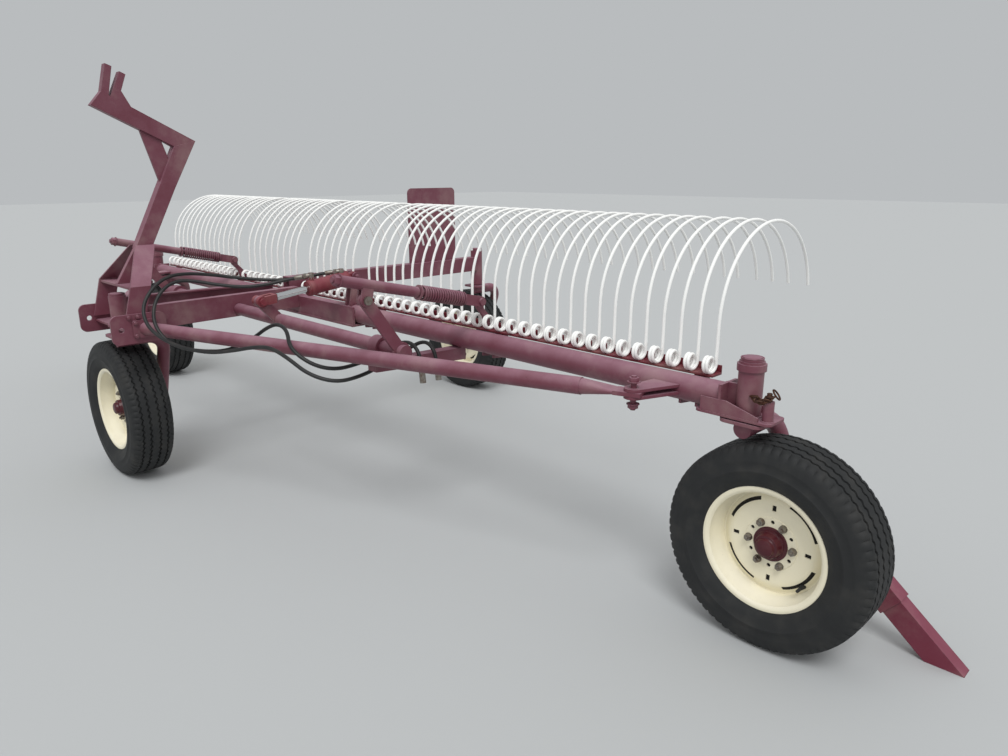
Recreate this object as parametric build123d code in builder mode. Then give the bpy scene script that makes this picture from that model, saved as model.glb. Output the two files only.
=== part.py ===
import os
from math import atan2, cos, degrees, pi, radians, sin, sqrt, tan

from build123d import *

os.makedirs("parts", exist_ok=True)

# A towed windrow rake. Millimetres. X runs along the toolbar toward its far end,
# Y points forward to the towing side and Z is up. The sizes below are laid out
# from the toolbar's middle, and each finished piece is moved to the origin on the
# ground at the middle of the machine's outline.

# Clearances
seat_gap = 0.3
pin_gap = 0.4
side_gap = 1.5
swing_gap = 5.0

# Toolbar
bar_length = 4560.0
bar_outer = 89.0
bar_wall = 8.0
bar_z = 800.0

# Wheels and castors
tyre_outer = 689.0
tyre_width = 205.0
tyre_sides = 48
rim_seat = 381.0
rim_flange = 416.0
rim_width = 160.0
rim_wall = 4.0
hub_outer = 96.0
spindle = 40.0
leg_outer = 60.0
leg_reach = 195.0
leg_bend = 85.0
wheel_shift = -30.0
king_shaft = 50.0
king_tube = 78.0
king_top = 930.0
king_plate = 8.0
flange_long = 150.0
flange_wide = 120.0
flange_thick = 10.0
lock_outer = 34.0
lock_bore = 18.0
tail_king_top = 980.0

# Hitch, backbone and tail
hitch_x = 400.0
head_y = 930.0
head_half = 220.0
head_web = 90.0
mast_plate = 12.0
channel_high = 110.0
channel_deep = 45.0
channel_wall = 8.0
channel_top = 895.0
channel_bar_half = 100.0
tail_y = -1392.0
cheek_front = 1045.0
cheek_back = 800.0
cheek_thick = 12.0
hitch_bore = 25.0
hitch_bore_clear = 3.0
head_disc = 56.0
end_trail = 110.0
middle_trail = 140.0
tail_high = 90.0
tail_wide = 70.0

# Rockshaft, levers and lift rods
rock_y = 410.0
rock_z = 820.0
rock_outer = 60.0
rock_half = 1150.0
lever_x = 1120.0
lever_reach = 272.0
lever_angle = 54.4
lever_wide = 50.0
lever_thick = 12.0
arm_thick = 18.0
rod_outer = 42.0
rod_rise = 56.0
rod_past = 118.0
spring_outer = 62.0
spring_long = 235.0
fork_long = 90.0
fork_bridge = 12.0
pin_dia = 22.0
pin_head = 32.0
pin_head_thick = 10.0

# Lift cylinder
cylinder_x = -180.0
cylinder_reach = 135.0
cylinder_angle = 47.0
butt_y = -15.0
butt_z = 985.0
barrel_outer = 72.0
barrel_long = 270.0
rod_chrome = 32.0
clevis_wide = 62.0
hose_outer = 16.0
hose_gap = 2.0
coupler_outer = 26.0
coupler_long = 60.0

# Tine bar
hinge_y = -62.0
hinge_z = 752.0
hinge_outer = 36.0
strip_front = -28.0
strip_back = -88.0
strip_thick = 8.0
strip_top = 848.5
tine_inset = 68.0
tine_pitch = 70.0
tine_wire = 9.5
coil_outer = 62.0
coil_y = -40.0
coil_wide = 20.0
arc_y = -385.0
arc_z = 1010.0
arc_turn = 168.0
crank_pin_y = 0.0
crank_pin_z = 970.0
crank_thick = 14.0
crank_wide = 46.0

# Braces
brace_outer = 60.0
brace_inset = 230.0
brace_bar_y = 180.0
brace_head_y = 900.0
brace_z = 800.0
brace_wall = 5.0
brace_flat_long = 60.0
brace_flat_thick = 14.0
brace_taper = 120.0
brace_foot_long = 110.0
brace_foot_high = 84.0
brace_foot_thick = 10.0
ear_thick = 10.0
ear_radius = 32.0
ear_bolt = 20.0
outrigger_x = 985.0

# Derived places
bar_radius = bar_outer / 2
bar_end = bar_length / 2
brace_bar_x = bar_end - brace_inset
king_x = bar_end + 80.0
plate_top = bar_z - bar_radius - seat_gap
plate_low = plate_top - king_plate
leg_z = plate_low - swing_gap - leg_outer / 2
axle_z = tyre_outer / 2

# Transport tongue: it hangs from the near castor's leg with its tip on the ground
tongue_slope = 40.0
tongue_high = 86.0
tongue_wide = 66.0
tongue_wall = 6.0
tongue_sleeve = 430.0
tongue_bar_high = tongue_high - 2 * tongue_wall
tongue_bar_wide = tongue_wide - 2 * tongue_wall
tongue_pin_z = 420.0
tongue_pin_x = -king_x - end_trail * (leg_z - tongue_pin_z) / (leg_z - axle_z)
tongue_side = leg_reach + leg_outer / 2 + 25.0
tongue_way = Vector(-cos(radians(tongue_slope)), -sin(radians(tongue_slope)))
tongue_up = Vector(-sin(radians(tongue_slope)), cos(radians(tongue_slope)))
pivot = Vector(tongue_pin_x, tongue_pin_z)
upper = pivot + tongue_up * (tongue_bar_high / 2)
lower = pivot - tongue_up * (tongue_bar_high / 2)
upper_tip = upper - tongue_way * (upper.Y / tongue_way.Y)
lower_tip = lower - tongue_way * (lower.Y / tongue_way.Y)

# The machine's origin: on the ground at the middle of its outline
middle_x = (upper_tip.X + king_x + end_trail + tyre_outer / 2) / 2
middle_y = (cheek_front + tail_y - leg_reach - leg_outer / 2) / 2


def save(piece, name):
    """Move a finished piece to the machine's origin, label it and write its file."""
    placed = piece.moved(Location((-middle_x, -middle_y, 0)))
    placed.label = name
    export_step(placed, f"parts/{name}.step")


# Toolbar: one length of heavy pipe
with BuildPart() as toolbar:
    with BuildSketch(Plane.YZ.offset(-bar_end)):
        with Locations((0, bar_z)):
            Circle(bar_radius)
            Circle(bar_radius - bar_wall, mode=Mode.SUBTRACT)
    extrude(amount=bar_length)
save(toolbar.part, "toolbar")

# End brackets: a shelf under the pipe, an end plate and the kingpin tube
for end_name, side in (("near", -1), ("far", 1)):
    shelf_in = bar_end - 80
    shelf_out = king_x + 100
    with BuildPart() as end_bracket:
        with BuildSketch(Plane.XY.offset(plate_low)):
            with Locations((side * (shelf_in + shelf_out) / 2, 0)):
                RectangleRounded(shelf_out - shelf_in, 112, 20)
        extrude(amount=king_plate)
        for rail_side in (-1, 1):
            with BuildSketch(Plane.XZ.offset(rail_side * 48)):
                with BuildLine():
                    Polyline(
                        (side * (shelf_in + 20), plate_low + king_plate / 2),
                        (side * (shelf_in + 20), plate_low + king_plate + 45),
                        (side * (bar_end + 30), plate_low + king_plate + 45),
                        (side * (king_x + 60), plate_low + king_plate + 12),
                        (side * (king_x + 60), plate_low + king_plate / 2),
                        close=True,
                    )
                make_face()
            extrude(amount=rail_side * 6)
        with BuildSketch(Plane.XY.offset(plate_low)):
            with Locations((side * king_x, 0)):
                Circle(king_tube / 2)
        extrude(amount=king_top - plate_low)
        with BuildSketch(Plane.XY.offset(king_top - 30)):
            with Locations((side * king_x, 0)):
                Circle(king_tube / 2 + 6)
        extrude(amount=22)
        with BuildSketch(Plane.XY.offset(plate_low)):
            with Locations((side * (king_x + 76), 22)):
                Circle(lock_outer / 2)
        extrude(amount=72)
        with BuildSketch(Plane.XY.offset(plate_low + king_plate / 2)):
            with Locations((side * (bar_end + seat_gap + 5), 0)):
                Rectangle(10, 104)
            with Locations((side * (bar_end + 28), 0)):
                Rectangle(46, 12)
        extrude(amount=bar_z + bar_radius + 4 - plate_low - king_plate / 2)
        with BuildSketch(Plane.XY.offset(plate_low)):
            with Locations((side * king_x, 0)):
                Circle(king_shaft / 2 + pin_gap)
            with Locations((side * (king_x + 76), 22)):
                Circle(lock_bore / 2)
        extrude(amount=king_top - plate_low, mode=Mode.SUBTRACT)
    save(end_bracket.part, f"end_bracket_{end_name}")

# Castors. Columns: name, kingpin x, kingpin y, trail along x, top of the kingpin tube
castor_rows = (
    ("near", -king_x, 0.0, -end_trail, king_top),
    ("far", king_x, 0.0, end_trail, king_top),
    ("front", hitch_x, head_y, middle_trail, king_top),
    ("tail", hitch_x, tail_y, middle_trail, tail_king_top),
)

for castor_name, pin_x, pin_y, trail, tube_top in castor_rows:
    side_y = pin_y - leg_reach
    wheel_y = pin_y + wheel_shift
    wheel_x = pin_x + trail

    # Leg: kingpin shaft, a tube bent out and down beside the wheel, and the spindle
    with BuildPart() as leg:
        with BuildLine():
            leg_path = FilletPolyline(
                (pin_x, pin_y + leg_outer / 2, leg_z),
                (pin_x, side_y, leg_z),
                (pin_x + trail, side_y, axle_z),
                radius=leg_bend,
            )
        with BuildSketch(Plane(leg_path @ 0, z_dir=leg_path % 0)):
            Circle(leg_outer / 2)
        sweep()
        with BuildSketch(Plane.XY.offset(leg_z)):
            with Locations((pin_x, pin_y)):
                Circle(king_shaft / 2)
        extrude(amount=tube_top + 5 - leg_z)
        with BuildSketch(Plane.XY.offset(leg_z)):
            with Locations((pin_x, pin_y)):
                Circle(leg_outer / 2 - 2)
        extrude(amount=plate_low - seat_gap - leg_z)
        with BuildSketch(Plane.XY.offset(plate_low - swing_gap - flange_thick)):
            with Locations((pin_x, pin_y)):
                RectangleRounded(flange_long, flange_wide, 30)
        extrude(amount=flange_thick)
        with BuildSketch(Plane.XY.offset(tube_top + seat_gap)):
            with Locations((pin_x, pin_y)):
                Circle(king_tube / 2 - 4)
        extrude(amount=9)
        with BuildSketch(Plane.XZ.offset(-(side_y - leg_outer / 2))):
            with Locations((wheel_x, axle_z)):
                Circle(leg_outer / 2)
        extrude(amount=-leg_outer)
        with BuildSketch(Plane.XZ.offset(-side_y)):
            with Locations((wheel_x, axle_z)):
                Circle(spindle / 2)
        extrude(amount=-(wheel_y + 40 - side_y))
    save(leg.part, f"leg_{castor_name}")

    # Rim: barrel with flanges, dished disc, and a hub closed by its cap
    face = wheel_y + 22
    flange_in = rim_width / 2 - rim_wall
    bore = spindle / 2 + pin_gap
    with BuildPart() as rim:
        with BuildSketch(Plane.XY.offset(axle_z)):
            with BuildLine():
                Polyline(
                    (wheel_x + bore, wheel_y - 58),
                    (wheel_x + hub_outer / 2, wheel_y - 58),
                    (wheel_x + hub_outer / 2, face - 12),
                    (wheel_x + rim_seat * 0.36, face - 12),
                    (wheel_x + rim_seat / 2 - rim_wall, face - 34),
                    (wheel_x + rim_seat / 2 - rim_wall, wheel_y - rim_width / 2),
                    (wheel_x + rim_flange / 2, wheel_y - rim_width / 2),
                    (wheel_x + rim_flange / 2, wheel_y - flange_in),
                    (wheel_x + rim_seat / 2, wheel_y - flange_in),
                    (wheel_x + rim_seat / 2, wheel_y + flange_in),
                    (wheel_x + rim_flange / 2, wheel_y + flange_in),
                    (wheel_x + rim_flange / 2, wheel_y + rim_width / 2),
                    (wheel_x + rim_seat / 2 - rim_wall, wheel_y + rim_width / 2),
                    (wheel_x + rim_seat / 2 - rim_wall, face - 26),
                    (wheel_x + rim_seat * 0.36, face - 4),
                    (wheel_x + hub_outer / 2, face - 4),
                    (wheel_x + hub_outer / 2 - 8, face + 22),
                    (wheel_x + 30, face + 26),
                    (wheel_x + 24, face + 48),
                    (wheel_x, face + 50),
                    (wheel_x, wheel_y + 40 + seat_gap),
                    (wheel_x + bore, wheel_y + 40 + seat_gap),
                    close=True,
                )
            make_face()
        revolve(axis=Axis((wheel_x, wheel_y, axle_z), (0, 1, 0)))
    save(rim.part, f"rim_{castor_name}")

    # Tyre: straight-sided rings from bead to tread, standing on one of their flats
    bead = rim_seat / 2 + seat_gap
    bead_half = flange_in - seat_gap
    # Columns: place across the tyre, radius to the flats
    tyre_rings = (
        (-bead_half, rim_flange / 2 + 2),
        (-tyre_width / 2, tyre_outer * 0.37),
        (-tyre_width * 0.43, tyre_outer * 0.48),
        (-tyre_width * 0.34, tyre_outer / 2),
        (tyre_width * 0.34, tyre_outer / 2),
        (tyre_width * 0.43, tyre_outer * 0.48),
        (tyre_width / 2, tyre_outer * 0.37),
        (bead_half, rim_flange / 2 + 2),
    )
    with BuildPart() as tyre:
        for ring_place, ring_radius in tyre_rings:
            with BuildSketch(Plane((wheel_x, wheel_y + ring_place, axle_z), x_dir=(1, 0, 0), z_dir=(0, 1, 0))):
                RegularPolygon(ring_radius, tyre_sides, major_radius=False, rotation=180 / tyre_sides)
        loft(ruled=True)
        with BuildSketch(Plane((wheel_x, wheel_y - bead_half - 1, axle_z), x_dir=(1, 0, 0), z_dir=(0, 1, 0))):
            Circle(bead)
        extrude(amount=2 * bead_half + 2, mode=Mode.SUBTRACT)
    save(tyre.part, f"tyre_{castor_name}")

# Saddle: angle under and in front of the toolbar that joins it to the backbone
saddle_near = cylinder_x - 80
saddle_far = hitch_x + channel_bar_half + channel_deep + 20
with BuildPart() as saddle:
    with BuildSketch(Plane.YZ.offset(saddle_near)):
        with Locations((10, plate_top - 5)):
            Rectangle(100, 10)
        with Locations((bar_radius + seat_gap + 5, bar_z - 2.5)):
            Rectangle(10, bar_outer + 5)
    extrude(amount=saddle_far - saddle_near)
save(saddle.part, "saddle")

# Backbone: two channels that spread from the toolbar to the head plates
channel_back = bar_radius + seat_gap + 10 + seat_gap
channel_front = head_y - head_web / 2 - seat_gap
channel_head_half = head_half - 6 - mast_plate - 2 * seat_gap - channel_deep
for channel_name, side in (("near", -1), ("far", 1)):
    back_x = hitch_x + side * channel_bar_half
    front_x = hitch_x + side * channel_head_half
    run = channel_front - channel_back
    web_low = channel_top - channel_high
    with BuildPart() as channel:
        with BuildSketch(Plane.XY.offset(web_low)):
            with BuildLine():
                Polyline(
                    (back_x, channel_back),
                    (back_x + side * channel_deep, channel_back),
                    (front_x + side * channel_deep, channel_front),
                    (front_x, channel_front),
                    close=True,
                )
            make_face()
        extrude(amount=channel_high)
        with BuildSketch(Plane.XY.offset(web_low + channel_wall)):
            with BuildLine():
                Polyline(
                    (back_x - side * 20, channel_back - 1),
                    (back_x + side * (channel_deep - channel_wall), channel_back - 1),
                    (front_x + side * (channel_deep - channel_wall), channel_front + 1),
                    (front_x - side * 20, channel_front + 1),
                    close=True,
                )
            make_face()
        extrude(amount=channel_high - 2 * channel_wall, mode=Mode.SUBTRACT)
        with BuildSketch(Plane.YZ.offset(hitch_x - 400)):
            with Locations((rock_y, rock_z)):
                Circle(rock_outer / 2 + pin_gap)
        extrude(amount=800, mode=Mode.SUBTRACT)
    save(channel.part, f"backbone_{channel_name}")

# Tail beam: box on top of the toolbar, with the tail kingpin tube at its end
tail_low = bar_z + bar_radius + seat_gap
tail_king_low = plate_low
with BuildPart() as tail_beam:
    with BuildSketch(Plane.XZ.offset(-bar_radius)):
        with Locations((hitch_x, tail_low + tail_high / 2)):
            Rectangle(tail_wide, tail_high)
            Rectangle(tail_wide - 14, tail_high - 14, mode=Mode.SUBTRACT)
    extrude(amount=bar_radius - tail_y - king_tube / 2 + 12)
    with BuildSketch(Plane.XY.offset(tail_king_low)):
        with Locations((hitch_x, tail_y)):
            Circle(king_tube / 2)
    extrude(amount=tail_king_top - tail_king_low)
    with BuildSketch(Plane.XY.offset(tail_king_low)):
        with Locations((hitch_x, tail_y)):
            Circle(king_shaft / 2 + pin_gap)
    extrude(amount=tail_king_top - tail_king_low, mode=Mode.SUBTRACT)
save(tail_beam.part, "tail_beam")

# Upright plate on the tail beam, with rounded upper corners
plate_front = -820.0
plate_back = -1200.0
upright_low = tail_low + tail_high + seat_gap
upright_high = 1395.0
with BuildPart() as upright_plate:
    with BuildSketch(Plane.YZ.offset(hitch_x - 4)):
        with Locations(((plate_front + plate_back) / 2, (upright_low + upright_high) / 2)):
            upright = Rectangle(plate_front - plate_back, upright_high - upright_low)
        fillet(upright.vertices().group_by(Axis.Y)[-1], 30)
    extrude(amount=8)
save(upright_plate.part, "upright_plate")

# Head: two side plates, a cross plate and the front kingpin tube between them
head_low = 735.0
head_high = 870.0
hitch_bore_y = head_y + head_disc + hitch_bore_clear + hitch_bore / 2
with BuildPart() as head:
    for side in (-1, 1):
        with BuildSketch(Plane.YZ.offset(hitch_x + side * head_half - cheek_thick / 2)):
            with Locations(((cheek_front + cheek_back) / 2, (head_low + head_high) / 2)):
                cheek = Rectangle(cheek_front - cheek_back, head_high - head_low)
            fillet(cheek.vertices(), 30)
            with Locations((hitch_bore_y, (head_low + head_high) / 2)):
                Circle(hitch_bore / 2, mode=Mode.SUBTRACT)
        extrude(amount=cheek_thick)
    with BuildSketch(Plane.XY.offset(plate_top + 30)):
        with Locations((hitch_x, head_y)):
            Rectangle(2 * head_half, head_web)
            Circle(head_disc)
    extrude(amount=10)
    with BuildSketch(Plane.XY.offset(plate_low)):
        with Locations((hitch_x, head_y)):
            Circle(king_tube / 2)
    extrude(amount=king_top - plate_low)
    with BuildSketch(Plane.XY.offset(plate_low)):
        with Locations((hitch_x, head_y)):
            Circle(king_shaft / 2 + pin_gap)
    extrude(amount=king_top - plate_low, mode=Mode.SUBTRACT)
save(head.part, "head")

# Mast: two legs from the head plates that meet on both sides of a leaning neck
neck_wide = 54.0
leg_wide = 90.0
with BuildPart() as mast_legs:
    for side in (-1, 1):
        foot_x = hitch_x + side * (head_half - cheek_thick / 2 - mast_plate / 2 - seat_gap)
        neck_x = hitch_x + side * (neck_wide / 2 + mast_plate / 2 + seat_gap)
        # Columns: height, middle along x, middle along y
        for low, high in (
            ((812, foot_x, 937), (990, foot_x, 890)),
            ((990, foot_x, 890), (1160, neck_x, 786)),
        ):
            for level, place_x, place_y in (low, high):
                with BuildSketch(Plane.XY.offset(level)):
                    with Locations((place_x, place_y)):
                        Rectangle(mast_plate, leg_wide)
            loft()
    with BuildSketch(Plane.XY.offset(975)):
        with Locations((hitch_x, 892)):
            Rectangle(2 * (head_half - cheek_thick), leg_wide - 10)
    extrude(amount=10)
save(mast_legs.part, "mast_legs")

with BuildPart() as mast_neck:
    with BuildSketch(Plane.YZ.offset(hitch_x - neck_wide / 2)):
        with BuildLine():
            Polyline((825, 1146), (589, 1614), (485, 1641), (611, 1415), (760, 1127), close=True)
        make_face()
    extrude(amount=neck_wide)
    with BuildSketch(Plane.YZ.offset(hitch_x - 20)):
        with BuildLine():
            Polyline((485, 1641), (885, 1844), (937, 1783), (530, 1585), close=True)
        make_face()
        with BuildLine():
            Polyline((885, 1844), (855, 1962), (828, 1952), (855, 1829), close=True)
        make_face()
        with BuildLine():
            Polyline((848, 1825), (797, 1933), (772, 1922), (800, 1850), (765, 1783), close=True)
        make_face()
    extrude(amount=40)
    with BuildSketch(Plane.YZ.offset(hitch_x - 8)):
        with BuildLine():
            Polyline((672, 1451), (736, 1685), (560, 1600), (640, 1440), close=True)
        make_face()
        with BuildLine():
            Polyline((642, 1637), (593, 1610), (617, 1557), close=True)
        make_face(mode=Mode.SUBTRACT)
    extrude(amount=16)
    with BuildSketch(Plane.YZ.offset(hitch_x - 14)):
        with BuildLine():
            Polyline((925, 985.3), (850, 985.3), (760, 1127), (790, 1150), (825, 1146), close=True)
        make_face()
    extrude(amount=28)
save(mast_neck.part, "mast_neck")

# Braces: tubes from the head plates to the ears near the toolbar's ends
for brace_name, side in (("near", -1), ("far", 1)):
    cheek_face = hitch_x + side * (head_half + cheek_thick / 2 + seat_gap)
    start = Vector(cheek_face, brace_head_y, brace_z)
    finish = Vector(side * brace_bar_x, brace_bar_y, brace_z)
    along = (finish - start).normalized()
    with BuildPart() as brace:
        with BuildSketch(Plane(start, z_dir=along)):
            Circle(brace_outer / 2)
            Circle(brace_outer / 2 - brace_wall, mode=Mode.SUBTRACT)
        extrude(amount=(finish - start).length - brace_flat_long - brace_taper)
        with BuildSketch(Plane(finish - along * (brace_flat_long + brace_taper + 10), x_dir=(0, 0, 1), z_dir=along)):
            RectangleRounded(brace_outer - 2, brace_outer - 2, brace_outer / 2 - 1.5)
        with BuildSketch(Plane(finish - along * brace_flat_long, x_dir=(0, 0, 1), z_dir=along)):
            RectangleRounded(brace_flat_thick, 2 * ear_radius, brace_flat_thick / 2 - 0.5)
        loft()
        with BuildSketch(Plane.YZ.offset(cheek_face)):
            with Locations((brace_head_y, brace_z)):
                RectangleRounded(brace_foot_long, brace_foot_high, 12)
        extrude(amount=side * brace_foot_thick)
        with BuildSketch(Plane.YZ.offset(cheek_face)):
            with Locations((brace_head_y, brace_z)):
                Rectangle(brace_foot_long, brace_foot_high)
        extrude(amount=-side * brace_outer, mode=Mode.SUBTRACT)
        with BuildSketch(Plane(finish - along * (brace_flat_long + 2), x_dir=(0, 0, 1), z_dir=along)):
            Rectangle(brace_flat_thick, 2 * ear_radius)
        extrude(amount=brace_flat_long + 2 + ear_radius)
        with BuildSketch(Plane.XY.offset(brace_z - brace_flat_thick)):
            with Locations((finish.X, finish.Y)):
                Circle(ear_bolt / 2 + pin_gap)
        extrude(amount=2 * brace_flat_thick, mode=Mode.SUBTRACT)
    save(brace.part, f"brace_{brace_name}")

# Brace ears: a pair of lugs on the front of the pipe at each end, with their bolt
with BuildPart() as brace_ears:
    for side in (-1, 1):
        for ear_z in (brace_z - brace_flat_thick / 2 - seat_gap - ear_thick, brace_z + brace_flat_thick / 2 + seat_gap):
            with BuildSketch(Plane.XY.offset(ear_z)):
                with BuildLine():
                    Polyline(
                        (side * (brace_bar_x - ear_radius), brace_bar_y),
                        (side * (brace_bar_x - 15), 0),
                        (side * (brace_bar_x + 100), 0),
                        (side * (brace_bar_x + ear_radius - 2), brace_bar_y + 10),
                        close=True,
                    )
                make_face()
                with Locations((side * brace_bar_x, brace_bar_y)):
                    Circle(ear_radius)
            extrude(amount=ear_thick)
        with BuildSketch(Plane.XY.offset(brace_z - 36)):
            with Locations((side * brace_bar_x, brace_bar_y)):
                Circle(ear_bolt / 2)
        extrude(amount=72)
    with BuildSketch(Plane.YZ.offset(-bar_end)):
        with Locations((0, bar_z)):
            Circle(bar_radius + seat_gap)
    extrude(amount=bar_length, mode=Mode.SUBTRACT)
save(brace_ears.part, "brace_ears")

# Outriggers: box arms from the toolbar that carry the rockshaft's end bearings
with BuildPart() as outriggers:
    for side in (-1, 1):
        with BuildSketch(Plane.YZ.offset(side * outrigger_x - 28)):
            with BuildLine():
                Polyline(
                    (-20, plate_top - 56),
                    (rock_y + 45, plate_top - 30),
                    (rock_y + 45, rock_z),
                    (rock_y - 45, rock_z),
                    (rock_y - 45, plate_top + 10),
                    (bar_radius + 20, plate_top),
                    (-20, plate_top),
                    close=True,
                )
            make_face()
            with Locations((rock_y, rock_z)):
                Circle(45)
                Circle(rock_outer / 2 + pin_gap, mode=Mode.SUBTRACT)
        extrude(amount=56)
save(outriggers.part, "outriggers")

# Rockshaft: the tube with its two levers and the arm for the cylinder
rock_axis = Vector(0, rock_y, rock_z)
with BuildPart() as rockshaft:
    with BuildSketch(Plane.YZ.offset(-rock_half)):
        with Locations((rock_y, rock_z)):
            Circle(rock_outer / 2)
    extrude(amount=2 * rock_half)
    arm_tip_y = rock_y + cylinder_reach * cos(radians(cylinder_angle))
    arm_tip_z = rock_z + cylinder_reach * sin(radians(cylinder_angle))
    with BuildSketch(Plane.YZ.offset(cylinder_x - arm_thick / 2)):
        with Locations(((rock_y + arm_tip_y) / 2, (rock_z + arm_tip_z) / 2)):
            SlotCenterToCenter(cylinder_reach, lever_wide, rotation=cylinder_angle)
    extrude(amount=arm_thick)
save(rockshaft.part, "rockshaft")

# Levers: flat bars welded round the rockshaft's ends
with BuildPart() as levers:
    for side in (-1, 1):
        tip_y = rock_y + lever_reach * cos(radians(lever_angle))
        tip_z = rock_z + lever_reach * sin(radians(lever_angle))
        with BuildSketch(Plane.YZ.offset(side * lever_x - lever_thick / 2)):
            with Locations(((rock_y + tip_y) / 2, (rock_z + tip_z) / 2)):
                SlotCenterToCenter(lever_reach, lever_wide, rotation=lever_angle)
            with Locations((tip_y, tip_z)):
                Circle(pin_dia / 2 + seat_gap, mode=Mode.SUBTRACT)
            with Locations((rock_y, rock_z)):
                Circle(rock_outer / 2 + 10)
                Circle(rock_outer / 2 + seat_gap, mode=Mode.SUBTRACT)
        extrude(amount=lever_thick)
save(levers.part, "levers")

# Cylinder: barrel with its butt eye, and the chrome rod with its clevis
butt = Vector(cylinder_x, butt_y, butt_z)
clevis = Vector(
    cylinder_x,
    rock_y + cylinder_reach * cos(radians(cylinder_angle)),
    rock_z + cylinder_reach * sin(radians(cylinder_angle)),
)
thrust = (clevis - butt).normalized()
with BuildPart() as barrel:
    with BuildSketch(Plane(butt + thrust * 42, z_dir=thrust)):
        Circle(barrel_outer / 2)
    extrude(amount=barrel_long - 42)
    with BuildSketch(Plane(butt + thrust * 50, z_dir=thrust)):
        Circle(rod_chrome / 2 + pin_gap)
    extrude(amount=barrel_long, mode=Mode.SUBTRACT)
    with BuildSketch(Plane.YZ.offset(cylinder_x - 12)):
        with Locations((butt.Y, butt.Z)):
            Circle(25)
        with Locations((butt.Y + 23, butt.Z - 3)):
            Rectangle(46, 40)
    extrude(amount=24)
    with BuildSketch(Plane.YZ.offset(cylinder_x - 20)):
        with Locations((butt.Y, butt.Z)):
            Circle(pin_dia / 2 + pin_gap)
    extrude(amount=40, mode=Mode.SUBTRACT)
    # Columns: first point of the hose, second point of the hose
    for hose_start, hose_next in (
        (Vector(-160, 262, 1008), Vector(-128, 312, 999)),
        (Vector(-158, 92, 1014), Vector(-128, 140, 1008)),
    ):
        port_way = (hose_next - hose_start).normalized()
        elbow = hose_start - port_way * 40
        with BuildSketch(Plane(elbow, z_dir=port_way)):
            Circle(coupler_outer / 2 - 2)
        extrude(amount=40 - hose_gap)
        port_low = butt.Z + (elbow.Y - butt.Y) * thrust.Z / thrust.Y + rod_chrome / 2 + 6
        with BuildSketch(Plane.XY.offset(port_low)):
            with Locations((elbow.X, elbow.Y)):
                Circle(coupler_outer / 2)
        extrude(amount=elbow.Z + 12 - port_low)
save(barrel.part, "cylinder_barrel")

rod_start = barrel_long - 40
with BuildPart() as piston_rod:
    with BuildSketch(Plane(butt + thrust * rod_start, z_dir=thrust)):
        Circle(rod_chrome / 2)
    extrude(amount=(clevis - butt).length - rod_start - 70)
    with BuildSketch(Plane(clevis - thrust * 76, x_dir=(1, 0, 0), z_dir=thrust)):
        Rectangle(clevis_wide, 40)
    extrude(amount=16)
    with BuildSketch(Plane.YZ.offset(cylinder_x - clevis_wide / 2)):
        with Locations((clevis.Y, clevis.Z)):
            Circle(25)
        with Locations((clevis.Y - thrust.Y * 38, clevis.Z - thrust.Z * 38)):
            Rectangle(76, 40, rotation=degrees(atan2(thrust.Z, thrust.Y)))
    extrude(amount=clevis_wide)
    with BuildSketch(Plane.YZ.offset(cylinder_x - arm_thick / 2 - side_gap)):
        with Locations((clevis.Y - thrust.Y * 10, clevis.Z - thrust.Z * 10)):
            Rectangle(100, 90, rotation=degrees(atan2(thrust.Z, thrust.Y)))
    extrude(amount=arm_thick + 2 * side_gap, mode=Mode.SUBTRACT)
    for head_side in (-1, 1):
        with BuildSketch(Plane.YZ.offset(cylinder_x + head_side * clevis_wide / 2)):
            with Locations((clevis.Y, clevis.Z)):
                Circle(pin_head / 2)
        extrude(amount=head_side * pin_head_thick)
save(piston_rod.part, "cylinder_rod")

# Cylinder mount: two ears on the toolbar with the butt pin between them
with BuildPart() as cylinder_mount:
    for side in (-1, 1):
        with BuildSketch(Plane.YZ.offset(cylinder_x + side * 19 - 5)):
            with BuildLine():
                Polyline(
                    (-24, bar_z + 38),
                    (butt_y - 22, butt_z),
                    (butt_y + 22, butt_z),
                    (34, bar_z + 34),
                    close=True,
                )
            make_face()
            with Locations((butt_y, butt_z)):
                Circle(22)
            with Locations((0, bar_z)):
                Circle(bar_radius + seat_gap, mode=Mode.SUBTRACT)
        extrude(amount=10)
    with BuildSketch(Plane.YZ.offset(cylinder_x - 30)):
        with Locations((butt_y, butt_z)):
            Circle(pin_dia / 2)
    extrude(amount=60)
save(cylinder_mount.part, "cylinder_mount")

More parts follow.
